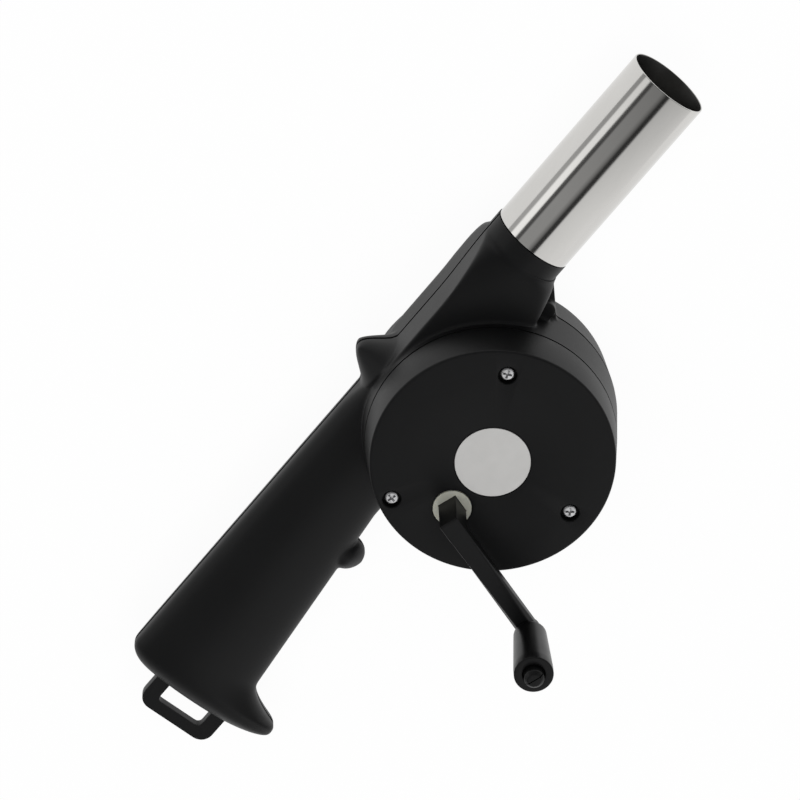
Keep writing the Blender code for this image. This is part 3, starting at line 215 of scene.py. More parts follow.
# Air intake, screws and label. A ring of the intake has a count of slots, from one radius to
# another; the screws' cross has a depth, half a length and half a width at its rim and foot.
INTAKE_RINGS = ((10, 0.0098, 0.0182), (18, 0.0212, 0.0308))
INTAKE_SLOT = 0.0028
COVER_SCREW_DEPTH = 0.003
COVER_SCREW_LIFT = 0.00005
COVER_SCREW_HOLE = 0.0034
COVER_SCREW_BORE = 0.0015
COVER_SCREW_LENGTH = 0.011
SHELL_SCREW_HOLE = 0.0031
SHELL_SCREW_LENGTH = 0.0135
SHELL_SCREW_SEAT_Z = 0.0112
SCREW_HEAD_RADIUS = 0.0027
SCREW_HEAD_HEIGHT = 0.0019
SCREW_SHANK_RADIUS = 0.0013
SCREW_CROSS = ((-0.0001, 0.0017, 0.00042), (0.0013, 0.0006, 0.0003))
LABEL_RADIUS = 0.0134
LABEL_THICKNESS = 0.0003
LABEL_RECESS = 0.0005


def spot_at(radius, degrees):
    turn = math.radians(degrees)
    return (radius * math.cos(turn), radius * math.sin(turn))


COVER_SCREW_SPOTS = [spot_at(DRUM_RADIUS - inset, degrees)
                     for inset, degrees in ((0.0119, 30), (0.0078, 150.2), (0.0118, 271.7))]
DRUM_BOSS_SPOTS = [spot_at(0.0404, degrees) for degrees in (236, 318)]
SHELL_SCREW_SPOTS = [(-0.139, 0.021), (-0.1, 0.025), (-0.0605, 0.027), *DRUM_BOSS_SPOTS,
                     (0.0473, 0.0123)]

# What each dressed solid gets: the name of its piece, its slot, body and finish
PIECES = {
    "front_shell": ("front_moulding", "black_shell", "housing", "black_shell_plastic"),
    "rear_shell": ("rear_moulding", "black_shell", "housing", "black_shell_plastic"),
    "gear_cover": ("gear_cover_cap", "black_shell", "housing", "black_shell_plastic"),
    "nozzle_tube": ("steel_nozzle", "tube_steel", "housing", "nozzle_stainless"),
    "centre_label": ("face_label", "label_white", "housing", "label_film"),
    "crank_arm": ("crank_arm_moulding", "black_crank", "crank", "black_crank_plastic"),
    "crank_knob": ("crank_knob_sleeve", "black_knob", "knob", "black_knob_plastic")}
SCREW_PIECE = ("zinc", "housing", "screw_zinc")


def length_setting(name, description, default, least):
    return bpy.props.FloatProperty(name=name, description=description, default=default,
                                   subtype="DISTANCE", unit="LENGTH", min=least)


def colour_setting(name, description, default):
    return bpy.props.FloatVectorProperty(name=name, description=description, default=default,
                                         subtype="COLOR", min=0, max=1)


class MouldingSettings(bpy.types.PropertyGroup):
    """How finely the moulded forms are made and how soft their edges are."""

    voxel: length_setting(
        "Voxel", "Fineness of the skin that fuses the moulded forms", 0.00045, 0.0002)
    soften_passes: bpy.props.IntProperty(
        name="Softening", description="Smoothing passes over the housing, which round its edges",
        default=10, min=0)
    arm_passes: bpy.props.IntProperty(
        name="Arm softening", description="Smoothing passes over the crank's arm",
        default=12, min=0)
    kept_faces: bpy.props.FloatProperty(
        name="Kept faces", description="Share of the fused skin's faces that is kept",
        subtype="FACTOR", default=0.2, min=0.02, max=1)


class StageSettings(bpy.types.PropertyGroup):
    """Floor, lamp and world around the blower."""

    floor_colour: colour_setting(
        "Floor colour", "Colour of the floor under the blower", (0.86, 0.86, 0.86))
    floor_glow: bpy.props.FloatProperty(
        name="Floor glow", description="Share of plain white in what the camera sees of the floor",
        subtype="FACTOR", default=0.95, min=0, max=1)
    floor_size: length_setting("Floor size", "Side of the square floor", 6.0, 0.0)
    panels: bpy.props.FloatProperty(
        name="Light panels", description="Strength of the world's light panels overhead",
        default=1.0, min=0)
    fill_power: bpy.props.FloatProperty(
        name="Fill lamp", description="Power of the soft lamp above, which polish doesn't mirror",
        unit="POWER", default=62.0, min=0)


class FinishSettings(bpy.types.PropertyGroup):
    """Colours of the blower's plastics and metals."""

    shell_black: colour_setting(
        "Shell black", "Moulded plastic of housing and crank", (0.0038, 0.0039, 0.0041))
    knob_black: colour_setting(
        "Knob black", "Smoother plastic of the crank's knob", (0.0038, 0.0038, 0.004))
    nylon: colour_setting("Nylon", "Natural nylon of the gears", (0.36, 0.36, 0.31))
    stainless: colour_setting(
        "Stainless steel", "Polished nozzle tube and drawn pins", (0.62, 0.61, 0.59))
    zinc: colour_setting("Zinc plating", "Screws and washers", (0.78, 0.78, 0.79))
    brass: colour_setting("Bush brass", "Sintered bushes of the fan shaft", (0.60, 0.42, 0.18))
    label_white: colour_setting(
        "Label white", "Bare round label on the drum's face", (0.46, 0.455, 0.445))
    grain: length_setting(
        "Mould grain", "Spacing of the moulded texture's grains", 0.0004, 0.0001)


# Mesh tools

def add_mesh(name, mesh):
    item = bpy.data.objects.new(name, mesh)
    bpy.context.scene.collection.objects.link(item)
    return item


def from_bmesh(name, bm):
    mesh = bpy.data.meshes.new(name)
    bm.to_mesh(mesh)
    bm.free()
    return add_mesh(name, mesh)


def settled(item):
    """Put the mesh that an object's modifiers make in the place of its own."""
    bpy.context.view_layer.update()
    graph = bpy.context.evaluated_depsgraph_get()
    item.data = bpy.data.meshes.new_from_object(item.evaluated_get(graph))
    item.modifiers.clear()
    return item


def carved(item, others, operation="DIFFERENCE"):
    """Cut an object by others, or join them to it; the others are used up."""
    group = bpy.data.collections.new("tools")
    bpy.context.scene.collection.children.link(group)
    for other in others:
        bpy.context.scene.collection.objects.unlink(other)
        group.objects.link(other)
    boolean = item.modifiers.new("tools", "BOOLEAN")
    boolean.solver = "EXACT"
    boolean.operation = operation
    boolean.operand_type = "COLLECTION"
    boolean.collection = group
    settled(item)
    for other in others:
        bpy.data.objects.remove(other, do_unlink=True)
    bpy.data.collections.remove(group)
    return item


def melted(item, voxel, passes, kept):
    """Fuse overlapping forms into one skin with soft edges and filleted corners."""
    remesh = item.modifiers.new("fuse", "REMESH")
    remesh.mode = "VOXEL"
    remesh.voxel_size = voxel
    smooth = item.modifiers.new("soften", "SMOOTH")
    smooth.factor = 0.5
    smooth.iterations = passes
    thin = item.modifiers.new("thin", "DECIMATE")
    thin.ratio = kept
    return settled(item)


def together(name, items):
    """One object with the meshes of several, which may overlap."""
    bm = bmesh.new()
    for item in items:
        bm.from_mesh(item.data)
        bpy.data.objects.remove(item, do_unlink=True)
    return from_bmesh(name, bm)


def twin(item):
    return add_mesh(item.name + "_twin", item.data.copy())


def skin(name, rows, closed=False):
    """Skin closed rows of like count; closed joins the last row to the first."""
    bm = bmesh.new()
    rings = [[bm.verts.new(point) for point in row] for row in rows]
    count = len(rings[0])
    pairs = list(zip(rings, rings[1:]))
    if closed:
        pairs.append((rings[-1], rings[0]))
    for near, far in pairs:
        for i in range(count):
            j = (i + 1) % count
            bm.faces.new((near[i], near[j], far[j], far[i]))
    if not closed:
        bm.faces.new(rings[0])
        bm.faces.new(rings[-1])
    bmesh.ops.recalc_face_normals(bm, faces=bm.faces)
    return from_bmesh(name, bm)


def turned(name, profile, steps=64, spot=(0, 0), closed=False):
    """Turn a profile of (radius, height) about an upright axis at the spot.

    An open profile ends in flat caps, and a closed one makes a ring.
    """
    turns = [math.tau * i / steps for i in range(steps)]
    rows = [[(spot[0] + radius * math.cos(t), spot[1] + radius * math.sin(t), height)
             for t in turns] for radius, height in profile]
    return skin(name, rows, closed)


def drum(name, radius, low, high, spot=(0, 0), steps=64):
    return turned(name, [(radius, low), (radius, high)], steps, spot)


def prism(name, outline, low, high):
    return skin(name, [[(x, y, z) for x, y in outline] for z in (low, high)])


def block(name, low, high):
    corners = [(low[0], low[1]), (high[0], low[1]), (high[0], high[1]), (low[0], high[1])]
    return prism(name, corners, low[2], high[2])


def arc(centre, start, sweep, radius, steps=8):
    turns = [start + sweep * i / steps for i in range(steps + 1)]
    return [(centre[0] + radius * math.cos(t), centre[1] + radius * math.sin(t)) for t in turns]


def rounded(profile, radius, steps=5):
    """Profile of (radius, height) points whose inner corners are rounded off."""
    points = [profile[0]]
    for before, corner, after in zip(profile, profile[1:], profile[2:]):
        here = Vector(corner)
        back = Vector(before) - here
        ahead = Vector(after) - here
        reach = min(radius, back.length / 2, ahead.length / 2)
        start = here + back.normalized() * reach
        end = here + ahead.normalized() * reach
        for i in range(steps + 1):
            t = i / steps
            point = start * (1 - t) ** 2 + here * 2 * t * (1 - t) + end * t ** 2
            points.append(tuple(point))
    return points + [profile[-1]]


def shown(item, node):
    """Finish a piece that stands for a solid of the frame."""
    name, slot, body, finish = PIECES.get(node, (node + "_piece", *SCREW_PIECE))
    item.name = item.data.name = name
    item.data.materials.clear()
    item.data.materials.append(finish_named(finish))
    item.data.shade_smooth()
    item.data.set_sharp_from_angle(angle=SMOOTH_ANGLE)
    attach(item, body)
    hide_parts(node)


# The long form: handle, duct and collar along X

def line(x, start, end):
    """Share of the way from start to end, from 0 to 1."""
    return min(max((x - start) / (end - start), 0), 1)


def blend(x, start, end):
    share = line(x, start, end)
    return share * share * (3 - 2 * share)


def quarter(x, start, length):
    """Height of a quarter ellipse that rises from 0 to 1 over its length."""
    share = 1 - line(x, start, start + length)
    return math.sqrt(1 - share * share)


class Half:
    """One half of the moulding.

    Handle and duct are each a height, how much of it is side wall, and a power. They join over
    the stretch join_x, and the duct turns round over round_x. The handle's end keeps end_share
    of its height.
    """

    def __init__(self, handle, duct, join_x, round_x, end_share):
        self.handle = handle
        self.duct = duct
        self.join_x = join_x
        self.round_x = round_x
        self.end_share = end_share

    def round_share(self, x):
        """0 where the duct is a box, 1 where it is as round as the collar."""
        share = line(x, *self.round_x)
        return 1 - math.sqrt(1 - share * share)

    def mixed(self, x, field):
        share = blend(x, *self.join_x)
        return self.handle[field] * (1 - share) + self.duct[field] * share

    def height(self, x):
        body = self.mixed(x, 0)
        body += (TUBE_RADIUS + COLLAR_STEP - body) * self.round_share(x)
        end = quarter(x, HANDLE_END_X, END_ROUND)
        return body * (self.end_share + (1 - self.end_share) * end)

    def wall_share(self, x):
        """Share of the height that is upright side wall, and not crowned."""
        share = self.mixed(x, 1) / self.mixed(x, 0)
        return share * (1 - self.round_share(x)) + LEAST_WALL_SHARE

    def power(self, x):
        """Squareness of the crown's shoulders; 2 is a circle."""
        value = self.mixed(x, 2)
        return value + (2 - value) * self.round_share(x)


FRONT = Half(handle=(0.012, 0.0022, 2.0), duct=(DUCT_CROWN, DUCT_CROWN - 0.0008, 2.4),
             join_x=(-0.028, 0.004), round_x=(0.029, 0.057), end_share=0.15)
REAR = Half(handle=(0.0135, 0.0005, 2.0), duct=(0.0153, 0.0103, 3.5),
            join_x=(-0.009, 0.006), round_x=(0.0355, 0.0572), end_share=0.6)


def high_edge(x):
    """Outer edge at the parting line, straight but for the handle's end corner."""
    corner = END_CORNER_WIDTH * (1 - quarter(x, HANDLE_END_X, END_CORNER_LENGTH))
    rise = COLLAR_HIGH_Y + COLLAR_STEP - OUTER_EDGE_Y
    return OUTER_EDGE_Y - corner + rise * blend(x, DUCT_LOW_X, COLLAR_START_X)


def finger_line(x):
    return HANDLE_INNER_Y + HANDLE_TAPER * (min(x, HANDLE_INNER_X) - HANDLE_INNER_X)


def pommel(x):
    flank = (1 - line(x, POMMEL_FLANK_X, POMMEL_END_X)) ** POMMEL_HOLLOW
    return math.sin(math.pi / 2 * line(x, HANDLE_END_X, POMMEL_TIP_X)) * flank


def low_edge(x):
    """Inner edge: finger side of the handle, then the side of the duct by the drum."""
    handle = finger_line(x) - POMMEL_RISE * pommel(x)
    duct = COLLAR_LOW_Y - COLLAR_STEP - DUCT_SPREAD * (1 - line(x, DUCT_LOW_X, COLLAR_START_X))
    return handle + (duct - handle) * blend(x, REAR.join_x[0], DUCT_LOW_X)


def half_section(low, high, height, wall_share, power, steps=28):
    """Points (across, up) of a crowned half section on two upright side walls."""
    middle = (low + high) / 2
    half = (high - low) / 2
    wall = height * wall_share
    points = [(high, 0)]
    for i in range(steps + 1):
        turn = math.pi * i / steps
        along = math.cos(turn)
        up = math.sin(turn) if 0 < i < steps else 0
        across = middle + half * math.copysign(abs(along) ** (2 / power), along)
        points.append((across, wall + (height - wall) * up ** (2 / power)))
    points.append((low, 0))
    return points


def whole_section(low, high, front, rear):
    """Closed section whose halves are given as (height, side wall share, power)."""
    above = half_section(low, high, *front)
    below = half_section(low, high, *rear)
    return ([(across, PARTING_Z + up) for across, up in above[:-1]]
            + [(across, PARTING_Z - up) for across, up in below[:0:-1]])


def long_form():
    places = [HANDLE_END_X + (POMMEL_TIP_X - HANDLE_END_X) * (1 - math.cos(math.pi / 2 * i / 12))
              for i in range(12)]
    count = 190
    places += [POMMEL_TIP_X + (COLLAR_START_X - POMMEL_TIP_X) * i / count
               for i in range(count + 1)]
    places.append(COLLAR_X + SPIGOT_LENGTH + WALL)
    rows = []
    for x in places:
        shape = [(half.height(x), half.wall_share(x), half.power(x)) for half in (FRONT, REAR)]
        rows.append([(x, y, z) for y, z in whole_section(low_edge(x), high_edge(x), *shape)])
    return skin("long_form", rows)


def horn(name, spot, rise, wall_share, power, reach, heights):
    """Skin a horn on an edge of the long form, from its root inside the edge to its tip."""
    steps = 16
    shares = [math.sin(math.pi / 2 * i / steps) for i in range(steps)] + [HORN_TIP_SHARE]
    rows = []
    for i, share in enumerate([0] + shares):
        place = share if i else -HORN_ROOT / abs(rise)
        half = reach(share)
        shape = [(height(share), wall_share, power) for height in heights]
        section = whole_section(spot[0] - half, spot[0] + half, *shape)
        rows.append([(x, spot[1] + rise * place, z) for x, z in section])
    return skin(name, rows)


def guard():
    """The hand guard, whose flanks run out into the edge."""
    def tapered(height, loss):
        return lambda share: height - loss * share

    return horn("guard", (GUARD_X, OUTER_EDGE_Y), GUARD_RISE, 0.2, 2.2,
                lambda share: GUARD_LENGTH * math.acos(share ** GUARD_HOLLOW) * 2 / math.pi,
                [tapered(height, loss) for height, loss in GUARD_HEIGHTS])


def finger_stop():
    """The knuckle on the finger side, domed down towards the parting line."""
    def domed(height):
        return lambda share: STOP_TIP_HEIGHT + height * (1 - share ** STOP_DOME)

    return horn("stop", (STOP_X, finger_line(STOP_X)), -STOP_RISE, LEAST_WALL_SHARE, 2.0,
                lambda share: STOP_LENGTH * math.sqrt(1 - share * share),
                [domed(height) for height in STOP_HEIGHTS])


def gusset():
    """Web between the duct and the drum, round a screw."""
    near, far = GUSSET_INSETS
    high, low = GUSSET_DEGREES
    corners = [(COLLAR_START_X - near, COLLAR_LOW_Y - COLLAR_STEP),
               (COLLAR_START_X - far, COLLAR_LOW_Y + WALL),
               spot_at(DRUM_RADIUS - WALL, high), spot_at(DRUM_RADIUS - WALL, low),
               spot_at(DRUM_RADIUS, low)]
    return prism("gusset", corners, PARTING_Z - GUSSET_BELOW, PARTING_Z + GUSSET_ABOVE)


def left_corners(x, low, high, corner):
    """The two rounded corners of an outline's left end, the high one first."""
    return (arc((x + corner, high - corner), math.pi / 2, math.pi / 2, corner)
            + arc((x + corner, low + corner), math.pi, math.pi / 2, corner))


def loop_bar():
    """Flat loop at the handle's end, to hang the blower by."""
    inside = HANDLE_END_X + LOOP_LAP
    outer = [(inside, LOOP_LOW_Y), (inside, LOOP_HIGH_Y),
             *left_corners(LOOP_END_X, LOOP_LOW_Y, LOOP_HIGH_Y, LOOP_CORNER)]
    low = LOOP_LOW_Y + LOOP_SIDE
    high = LOOP_HIGH_Y - LOOP_SIDE
    slot = [(HANDLE_END_X, low), (HANDLE_END_X, high),
            *left_corners(LOOP_END_X + LOOP_BAR, low, high, LOOP_SLOT_CORNER)]
    foot = PARTING_Z - LOOP_THICKNESS
    loop = prism("loop", outer, foot, PARTING_Z)
    return carved(loop, [prism("loop_slot", slot, foot - WALL, PARTING_Z + WALL)])


def drum_form():
    """The drum up to a little past the cover's seam."""
    back = DRUM_RADIUS - BACK_DRAFT
    profile = [(back - BACK_ROUND + BACK_ROUND * math.sin(math.pi / 2 * i / 8),
                BACK_ROUND * (1 - math.cos(math.pi / 2 * i / 8))) for i in range(9)]
    profile += [(DRUM_RADIUS, PARTING_Z), (SEAM_RADIUS, COVER_SEAM_Z),
                (SEAM_RADIUS, COVER_SEAM_Z + WALL)]
    return turned("drum_form", profile, 160)


def air_way():
    """The fan chamber and the duct as a solid, without the bosses that stand in them."""
    chamber = turned("chamber", [(INNER_RADIUS - CHAMBER_DRAFT, WALL), (INNER_RADIUS, PARTING_Z),
                                 (INNER_RADIUS, GEAR_PLATE_Z)], 96)
    rows = []
    stretch = COLLAR_START_X - DUCT_LOW_X
    for x in [DUCT_MOUTH_X] + [DUCT_LOW_X + stretch * i / 20 for i in range(20)]:
        low = low_edge(x) + WALL
        high = high_edge(x) - WALL
        share = FRONT.round_share(x)
        low += (TUBE_Y - BORE_RADIUS - low) * share
        high += (TUBE_Y + BORE_RADIUS - high) * share
        shape = []
        for half in (FRONT, REAR):
            height = half.height(x) - WALL
            height += (BORE_RADIUS - height) * half.round_share(x)
            shape.append((height, half.wall_share(x), half.power(x)))
        rows.append([(x, y, z) for y, z in whole_section(low, high, *shape)])
    round_shape = (BORE_RADIUS, LEAST_WALL_SHARE, 2)
    for x in (COLLAR_START_X, COLLAR_X + SPIGOT_LENGTH + 3 * WALL):
        section = whole_section(TUBE_Y - BORE_RADIUS, TUBE_Y + BORE_RADIUS, round_shape,
                                round_shape)
        rows.append([(x, y, z) for y, z in section])
    carved(chamber, [skin("duct", rows)], "UNION")
    bosses = [drum("fan_boss", BOSS_RADIUS, FRONT_BUSH_FOOT_Z, GEAR_PLATE_TOP_Z),
              drum("bush_boss", BOSS_RADIUS, 0, HUB_FLOOR + SEAT_GAP + REAR_BUSH_LENGTH)]
    for spot in DRUM_BOSS_SPOTS:
        bosses.append(drum("drum_post", DRUM_POST_RADIUS, 0, GEAR_PLATE_TOP_Z, spot, 32))
    return carved(chamber, bosses)


def gear_room():
    """The space for the gears in the front half, without its bosses."""
    room = drum("gear_room", SEAM_RADIUS - WALL, GEAR_PLATE_TOP_Z, COVER_SEAM_Z + 2 * WALL,
                steps=128)
    inside = GEAR_PLATE_Z
    bosses = [drum("fan_boss", BOSS_RADIUS, inside, PLATE_BOSS_TOP_Z),
              drum("crank_boss", BOSS_RADIUS, inside, PLATE_BOSS_TOP_Z, CRANK_SPOT),
              drum("idler_boss", IDLER_BOSS_RADIUS, inside, PLATE_BOSS_TOP_Z, IDLER_SPOT)]
    for spot in COVER_SCREW_SPOTS:
        bosses.append(drum("cover_post", COVER_POST_RADIUS, inside, COVER_POST_TOP_Z, spot, 32))
    return carved(room, bosses)


def along_tube(item, shift=0.0):
    """Lay an upright turned form along the tube's axis, shifted up and outwards."""
    item.data.transform(Matrix.Rotation(math.pi / 2, 4, "Y"))
    item.data.transform(Matrix.Translation((0, TUBE_Y + shift, PARTING_Z + shift)))
    return item


def collar_cutters():
    """Rings that leave the collar and the spigot from the long form.

    The collar sits a little off the axis, so its step shows beside the web and runs out.
    """
    far = COLLAR_X + SPIGOT_LENGTH
    end = far + 4 * WALL
    wide = 0.05
    core = 0.001
    spigot = [(SPIGOT_RADIUS, COLLAR_X), (wide, COLLAR_X), (wide, end), (core, end),
              (core, far), (SPIGOT_RADIUS, far)]
    collar = [(COLLAR_RADIUS, COLLAR_START_X), (wide, COLLAR_START_X),
              (wide, COLLAR_X + WALL), (COLLAR_RADIUS, COLLAR_X + WALL)]
    return [along_tube(turned("spigot_cutter", spigot, 128, closed=True)),
            along_tube(turned("collar_cutter", collar, 128, closed=True), COLLAR_STEP / 2)]


def moulding(settings):
    """Handle, duct and drum in one soft-edged skin, before it is parted in halves."""
    post = drum("gusset_post", GUSSET_POST_RADIUS, PARTING_Z, GUSSET_POST_TOP_Z,
                SHELL_SCREW_SPOTS[-1], 48)
    body = together("moulding", [long_form(), guard(), finger_stop(), gusset(), post,
                                 loop_bar(), drum_form()])
    voxel = settings.voxel * 1
    return melted(body, voxel, settings.soften_passes, settings.kept_faces)


def above_parting():
    """All that lies over the rear half, whose tongue fills the groove between the halves."""
    foot = PARTING_Z - GROOVE_HEIGHT / 2
    tongue_top = PARTING_Z + GROOVE_HEIGHT / 2 - SEAT_GAP / 2
    count = 120
    start = HANDLE_END_X + GROOVE_DEPTH
    places = [start + (COLLAR_START_X - start) * i / count for i in range(count + 1)]
    outline = [(x, low_edge(x) + GROOVE_DEPTH) for x in places]
    outline += [(x, high_edge(x) - GROOVE_DEPTH) for x in reversed(places)]
    tongues = [prism("tongue", outline, foot - WALL, tongue_top),
               drum("drum_tongue", DRUM_RADIUS - GROOVE_DEPTH, foot - WALL, tongue_top,
                    steps=128)]
    return carved(block("ahead", (-WIDE, -WIDE, foot), (WIDE, WIDE, WIDE)), tongues)


def front_half(body, cavity):
    foot = PARTING_Z + GROOVE_HEIGHT / 2
    tools = [block("behind", (-WIDE, -WIDE, -WIDE), (WIDE, WIDE, foot)),
             block("ahead", (-WIDE, -WIDE, COVER_SEAM_Z), (WIDE, WIDE, WIDE)),
             cavity, gear_room(), *collar_cutters(),
             drum("fan_bore", BUSH_RADIUS + SEAT_GAP, FRONT_BUSH_FOOT_Z - WALL,
                  PLATE_BOSS_TOP_Z + WALL),
             drum("crank_bore", CRANK_BORE_RADIUS, GEAR_PLATE_TOP_Z + SEAT_GAP,
                  PLATE_BOSS_TOP_Z + WALL, CRANK_SPOT),
             drum("idler_bore", IDLER_BORE_RADIUS, GEAR_PLATE_Z + SEAT_GAP,
                  PLATE_BOSS_TOP_Z + WALL, IDLER_SPOT, 32)]
    return carved(body, tools)


def rear_half(body, cavity):
    tools = [above_parting(), cavity, *collar_cutters(),
             drum("bush_bore", BUSH_RADIUS + SEAT_GAP, HUB_FLOOR, PARTING_Z)]
    for spot in SHELL_SCREW_SPOTS:
        tools.append(drum("head_hole", SHELL_SCREW_HOLE, -WALL, SHELL_SCREW_SEAT_Z - SEAT_GAP,
                          spot, 48))
    half = INTAKE_SLOT / 2
    for count, inner, outer in INTAKE_RINGS:
        for i in range(count):
            turn = math.tau * (i + 0.5) / count
            outline = arc((outer - half, 0), -math.pi / 2, math.pi, half)
            outline += arc((inner + half, 0), math.pi / 2, math.pi, half)
            slot = prism("intake_slot", outline, -WALL, 2 * WALL)
            slot.data.transform(Matrix.Rotation(turn, 4, "Z"))
            tools.append(slot)
    return carved(body, tools)


def cover_shape():
    """Front cap over the gears, with rounded rims round its holes."""
    inside = COVER_INSIDE_Z
    middle = 0.0005
    outer = rounded([(middle, DRUM_DEPTH), (FACE_RADIUS, DRUM_DEPTH),
                     (SEAM_RADIUS, COVER_FOOT_Z), (SEAM_RADIUS - WALL, COVER_FOOT_Z)],
                    FACE_ROUND)
    profile = outer + [(FACE_RADIUS - WALL, inside), (middle, inside)]
    cover = turned("cover", profile, 192)
    within = inside + WALL / 2
    bosses = [drum("crank_ring", CRANK_BOSS_RADIUS + WALL, CRANK_GEAR_TOP_Z + SEAT_GAP, within,
                   CRANK_SPOT)]
    for spot in COVER_SCREW_SPOTS:
        bosses.append(drum("cover_boss", COVER_BOSS_RADIUS, COVER_POST_TOP_Z + SEAT_GAP, within,
                           spot, 32))
    carved(cover, bosses, "UNION")
    holes = [hole("crank_hole", CRANK_BOSS_RADIUS + RUN_GAP, COVER_POST_TOP_Z, CRANK_SPOT),
             hole("label_hole", LABEL_RADIUS + SEAT_GAP, DRUM_DEPTH - LABEL_RECESS, (0, 0))]
    for spot in COVER_SCREW_SPOTS:
        holes.append(hole("head_hole", COVER_SCREW_HOLE, DRUM_DEPTH - COVER_SCREW_DEPTH, spot))
        holes.append(drum("screw_hole", COVER_SCREW_BORE, COVER_POST_TOP_Z,
                          DRUM_DEPTH - WALL / 2, spot, 24))
    return carved(cover, holes)


def hole(name, radius, foot, spot):
    """Tool for a round hole in the cover's face whose rim is eased."""
    ease = 0.0003
    profile = [(radius, foot), (radius, DRUM_DEPTH - ease)]
    for i in range(1, 5):
        turn = math.pi / 2 * i / 4
        profile.append((radius + ease * (1 - math.cos(turn)),
                        DRUM_DEPTH - ease * (1 - math.sin(turn))))
    profile.append((radius + 2 * ease, DRUM_DEPTH + ease))
    return turned(name, profile, 96, spot)


def tube_shape():
    """Thin steel tube with a smooth rim at its open end."""
    inner = TUBE_RADIUS - TUBE_WALL
    lip = TUBE_WALL / 2
    profile = [(TUBE_RADIUS, COLLAR_X + SEAT_GAP)]
    profile += [(TUBE_RADIUS - lip + lip * math.cos(t), TUBE_END_X - lip + lip * math.sin(t))
                for t in (math.pi * i / 8 for i in range(9))]
    profile += [(inner, COLLAR_X + SEAT_GAP)]
    return along_tube(turned("tube", profile, 160, closed=True))


def label_shape():
    foot = DRUM_DEPTH - LABEL_RECESS + SEAT_GAP
    top = foot + LABEL_THICKNESS
    edge = LABEL_THICKNESS / 3
    profile = [(LABEL_RADIUS, foot), (LABEL_RADIUS, top - edge), (LABEL_RADIUS - edge, top)]
    return turned("label", profile, 128)


def screw_shape(spot, seat, up, turn):
    """Pan-head screw with a cross recess; its shank runs up (1) or down (-1)."""
    radius, height, shank = SCREW_HEAD_RADIUS, SCREW_HEAD_HEIGHT, SCREW_SHANK_RADIUS
    length = SHELL_SCREW_LENGTH if up > 0 else COVER_SCREW_LENGTH
    middle = 0.0002
    profile = [(middle, -height)]
    profile += [(radius * (0.65 + 0.35 * math.sin(t)), -height * (0.5 + 0.5 * math.cos(t)))
                for t in (math.pi / 2 * i / 10 for i in range(11))]
    profile += [(radius, 0), (shank, 0), (shank, length - shank), (middle, length)]
    item = turned("screw", [(r, up * h) for r, h in profile], 48)
    tools = []
    for quarter_turn in (0, math.pi / 2):
        rows = []
        for depth, long, wide in SCREW_CROSS:
            z = up * (depth - height)
            rows.append([(long, wide, z), (-long, wide, z), (-long, -wide, z), (long, -wide, z)])
        blade = skin("cross", rows)
        blade.data.transform(Matrix.Rotation(turn + quarter_turn, 4, "Z"))
        tools.append(blade)
    carved(item, tools)
    item.location = (*spot, seat)
    return item


def arm_shape(settings):
    """Square post, arm with a ridged top, and snap pin in one."""
    half = POST_SIDE / 2

    def outline(end_width):
        end = arc((CRANK_THROW, 0), -math.pi / 2, math.pi, end_width / 2)
        return [(-half, -half), *end, (-half, half)]

    levels = [(ARM_END_WIDTH, ARM_TOP_Z - ARM_THICKNESS),
              (ARM_END_WIDTH, ARM_TOP_Z - ARM_SHOULDER), (ARM_RIDGE_WIDTH, ARM_TOP_Z)]
    arm = skin("arm", [[(x, y, z) for x, y in outline(width)] for width, z in levels])
    post = block("post", (-half, -half, POST_FOOT_Z), (half, half, ARM_TOP_Z - POST_DROP))
    boss = drum("boss", ARM_BOSS_RADIUS, ARM_TOP_Z - ARM_BOSS_DEPTH, ARM_TOP_Z, (CRANK_THROW, 0))
    arm = melted(together("arm", [arm, post, boss]), settings.voxel / 2, settings.arm_passes,
                 settings.kept_faces)
    pin_top = ARM_TOP_Z + SEAT_GAP + KNOB_LENGTH
    seat = pin_top - KNOB_RECESS_DEPTH + SEAT_GAP
    head_top = pin_top + PIN_HEAD_PROUD
    middle = 0.0001
    profile = rounded([(PIN_RADIUS, ARM_TOP_Z - WALL), (PIN_RADIUS, seat),
                       (PIN_HEAD_RADIUS, seat), (PIN_HEAD_RADIUS, head_top - PIN_HEAD_EDGE),
                       (PIN_HEAD_RADIUS - PIN_HEAD_EDGE, head_top), (middle, head_top)],
                      PIN_ROUND)
    carved(arm, [turned("pin", profile, 48, (CRANK_THROW, 0))], "UNION")
    deep = PIN_SLOT_DEPTH
    slot = block("pin_slot", (CRANK_THROW - PIN_SLOT / 2, -deep, seat - deep),
                 (CRANK_THROW + PIN_SLOT / 2, deep, head_top + WALL))
    carved(arm, [slot])
    arm.data.transform(Matrix.Rotation(CRANK_ANGLE, 4, "Z"))
    arm.data.transform(Matrix.Translation((*CRANK_SPOT, 0)))
    return arm


def knob_shape():
    foot = ARM_TOP_Z + SEAT_GAP
    top = foot + KNOB_LENGTH
    bore = PIN_RADIUS + RUN_GAP
    recess = KNOB_RECESS_RADIUS
    profile = rounded([
        (bore, foot + 2 * KNOB_EDGE), (bore, foot), (KNOB_BASE_RADIUS, foot),
        (KNOB_BASE_RADIUS + KNOB_DRAFT, foot + KNOB_FOOT_HEIGHT),
        (KNOB_END_RADIUS, top - KNOB_BAND_HEIGHT),
        (KNOB_END_RADIUS, top), (recess, top), (recess, top - KNOB_RECESS_DEPTH),
        (bore, top - KNOB_RECESS_DEPTH), (bore, foot + 3 * KNOB_EDGE)], KNOB_EDGE)
    return turned("knob", profile, 96, PIN_SPOT, closed=True)


# Shader building

def operator_pair(operation):
    """Methods of a value on the operator's left side, and on its right."""
    return (lambda self, other: self.graph.maths(operation, self, other),
            lambda self, other: self.graph.maths(operation, other, self))


